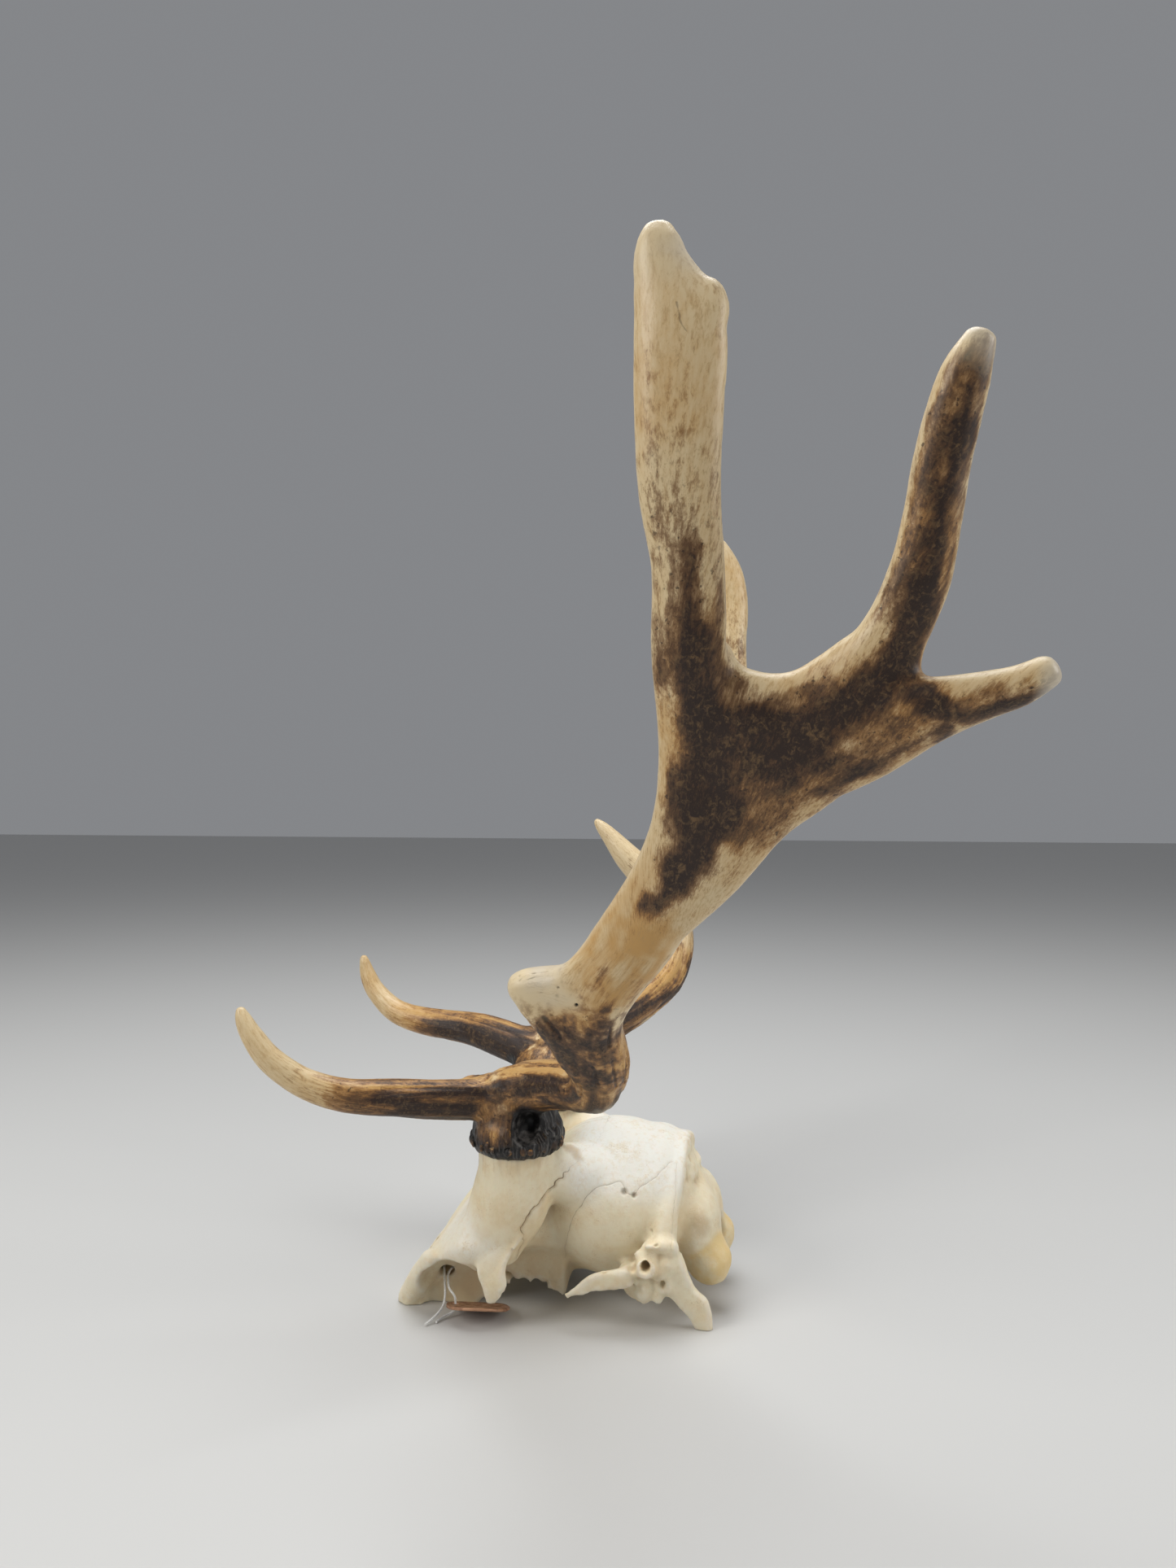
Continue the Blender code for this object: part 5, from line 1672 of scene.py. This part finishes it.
def skull_stain_and_shade(at):
    """How brown each point of the skull is: real stains, with painted shade in the eye socket and the hollow
    behind it.
    """
    speckle = noise(at.points, 3.0, 71)
    stain = 0.30 * at.pedicle * ramp(at.stripes, 0.0, 1.1) + 0.40 * ramp(at.z, 60, 70) * at.pedicle
    behind = stroke(at.folded, STAIN_BEHIND_PEDICLE)
    by_crest = stroke(at.folded, STAIN_BY_CREST)
    stain = np.maximum.reduce([
        stain,
        0.75 * ramp(behind + 1.3 * speckle, -2.5, 2.0),
        (0.22 * at.porous + 0.3 * at.mastoid) * ramp(at.cells, -0.3, 0.8),
        0.28 * at.torn * ramp(speckle, -0.5, 0.7),
        0.62 * near_spots(at.folded, NECK_STAINS),
        0.42 * ramp(by_crest + 1.6 * noise(at.points, 3.4, 73), -1.5, 3.0)])
    # painted shade: the depth of the eye socket and the hollow behind it, second and third of the hollows,
    # are darkened as if in shadow
    for (centre, radii, _), share in zip(SIDE_HOLLOWS[1:3], (0.30, 0.36)):
        inside = ramp(np.linalg.norm((at.folded - centre) / np.array(radii), axis=1), 1.15, 0.95)
        stain = np.maximum(stain, share * inside * (0.8 + 0.4 * speckle))
    return stain


def skull_white(at):
    """How much paler each point of the skull is: the crown, and the brow in front of the pedicles."""
    white = ramp(at.z, 40, 60) * ramp(at.y, -12, 6) * (1 - at.porous) * (1 - 0.7 * at.pedicle)
    brow = 0.6 * ramp(at.z, 18, 34) * ramp(at.y, -66, -50) * ramp(at.y, -20, -34) * (1 - at.pedicle)
    return np.maximum(white, brow)


def finish_skull(mesh):
    """Raise the bone's relief and mark its seams, pits and stains."""
    refine_seams(mesh)
    points, normals = read_points(mesh)
    at = survey_skull(points, normals)
    write_points(mesh, points + normals * skull_relief(at)[:, None])
    wax = ramp(np.linalg.norm((at.folded - CONDYLE[0]) / CONDYLE[1], axis=1), 1.45, 1.0)
    marks = {"stain": skull_stain_and_shade(at), "white": skull_white(at), "wax": wax, "pit": at.pit,
             "open_seam": at.open_seam}
    write_marks(mesh, marks, 1)
    for name, values in at.seams.items():
        write_attribute(mesh, name, np.column_stack([values, np.abs(values), at.fading[name]]))


def hollowness(obj, iterations):
    """How far each point lies below its smoothed surroundings, in mm."""
    twin = add_object("twin", obj.data.copy())
    add_smoothing(twin, iterations)
    settle(twin)
    smoothed, _ = read_points(twin.data)
    bpy.data.objects.remove(twin)
    points, normals = read_points(obj.data)
    return dot(smoothed - points, normals)


def make_skull(material):
    """The whole skull, in place of its node."""
    obj = skull_skin()
    finish_skull(obj.data)
    maker = bmesh.new()
    below_floor = Matrix.Translation((0, 0, -FLOOR_BLOCK[2] / 2)) @ Matrix.Diagonal((*FLOOR_BLOCK, 1))
    bmesh.ops.create_cube(maker, size=1.0, matrix=below_floor)
    combine(obj, new_object("floor_cut", maker), "DIFFERENCE")
    # how hollow each point lies, kept for the painted shade in the bone's hollows and creases
    write_attribute(obj.data, "cavity", hollowness(obj, 25))
    dress(obj, material)
    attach(obj, "root")
    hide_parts("skull")


# ---------------------------------------------------------------- tag and string

def disc_profile():
    """The disc's section, round from its hole to its rim and back: (share of the way out, height)."""
    upper = [(0.0, 0.55), (0.02, 1.0)]
    upper += [(k / TAG_RINGS, 1.0) for k in range(1, TAG_RINGS)]
    upper += [(0.975, 0.96), (1.0, 0.4)]
    return upper + [(share, -height) for share, height in reversed(upper)]


def disc_spot(turn, share):
    """A point of the disc on the ray that leaves its hole at a turn, a share of the way to its rim."""
    centre = np.array((0.0, -TAG_HOLE_REACH))
    outer, hole = TAG_DIAMETER / 2, TAG_HOLE_DIAMETER / 2
    way = np.array((math.cos(turn), math.sin(turn)))
    ahead = -centre @ way + math.sqrt((centre @ way) ** 2 - centre @ centre + outer ** 2)
    return centre + way * (hole + share * (ahead - hole))


def disc_bend(spot):
    """How far the disc lies above its own middle plane at a point: dished, with a waved rim."""
    toward_rim = (spot @ spot) / (TAG_DIAMETER / 2) ** 2
    wave = TAG_WAVE * toward_rim * math.sin(3 * math.atan2(spot[1], spot[0]) + 0.6)
    return wave - TAG_DISH * (1 - toward_rim)


def make_tag(material):
    """The plain disc: a little dished, with rounded rims and a hole."""
    maker = bmesh.new()
    turns = np.arange(TAG_SIDES) * 2 * math.pi / TAG_SIDES
    loops = []
    for share, height in disc_profile():
        loop = []
        for turn in turns:
            spot = disc_spot(turn, share)
            loop.append(maker.verts.new((*spot, TAG_THICKNESS / 2 * height * 0.9 + disc_bend(spot))))
        loops.append(loop)
    for low, high in zip(loops, loops[1:] + loops[:1]):
        bridge(maker, low, high)
    bmesh.ops.recalc_face_normals(maker, faces=maker.faces)
    maker.transform(Matrix.Translation(TAG_CENTRE) @ Matrix.Rotation(-math.radians(TAG_TILT), 4, "Y"))
    tag = new_object("tag_disc", maker)
    dress(tag, material)
    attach(tag, "root")
    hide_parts("hang_tag")
    return tag


def make_string(material):
    """The twisted cotton string along its way."""
    way = [Vector(point) * MM + ORIGIN for point in spline(STRING_WAY, 3)]
    curve = bpy.data.curves.new("cotton_string", "CURVE")
    curve.dimensions = "3D"
    line = curve.splines.new("POLY")
    line.points.add(len(way) - 1)
    for spot, point in zip(line.points, way):
        spot.co = (*point, 1.0)
    strand = STRAND_RADIUS * MM
    string = grow(add_object("cotton_string", curve), twisted_string_tree(STRING_STRANDS), {
        "Strand Radius": strand, "Off Middle": STRING_DIAMETER / 2 * MM - strand,
        "Turns Per Metre": STRING_TURNS_PER_METRE, "Point Spacing": STRING_POINT_SPACING * MM,
        "Material": material})
    dress(string, material)
    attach(string, "root")
    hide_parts("tag_string")


# ---------------------------------------------------------------- everything

make_camera()
make_studio()
tag_piece = make_tag(tag_finish())
make_string(string_finish())
make_skull(bone_finish())
antler = antler_finish()
pearl_tree = pearl_ring_tree()
make_antler("left_antler", LEFT_BRANCHES, LEFT_FILLETS, LEFT_FORK_PLACES, 1, (
    "left_beam", "left_brow_tine", "left_front_tine", "left_upper_rear_tine", "left_lower_rear_tine"),
    antler, pearl_tree)
make_antler("right_antler", RIGHT_BRANCHES, RIGHT_FILLETS, RIGHT_FORK_PLACES, -1, (
    "right_beam", "right_brow_tine", "right_second_tine", "right_front_tine", "right_upper_rear_tine",
    "right_lower_rear_tine"), antler, pearl_tree)

bpy.context.view_layer.update()
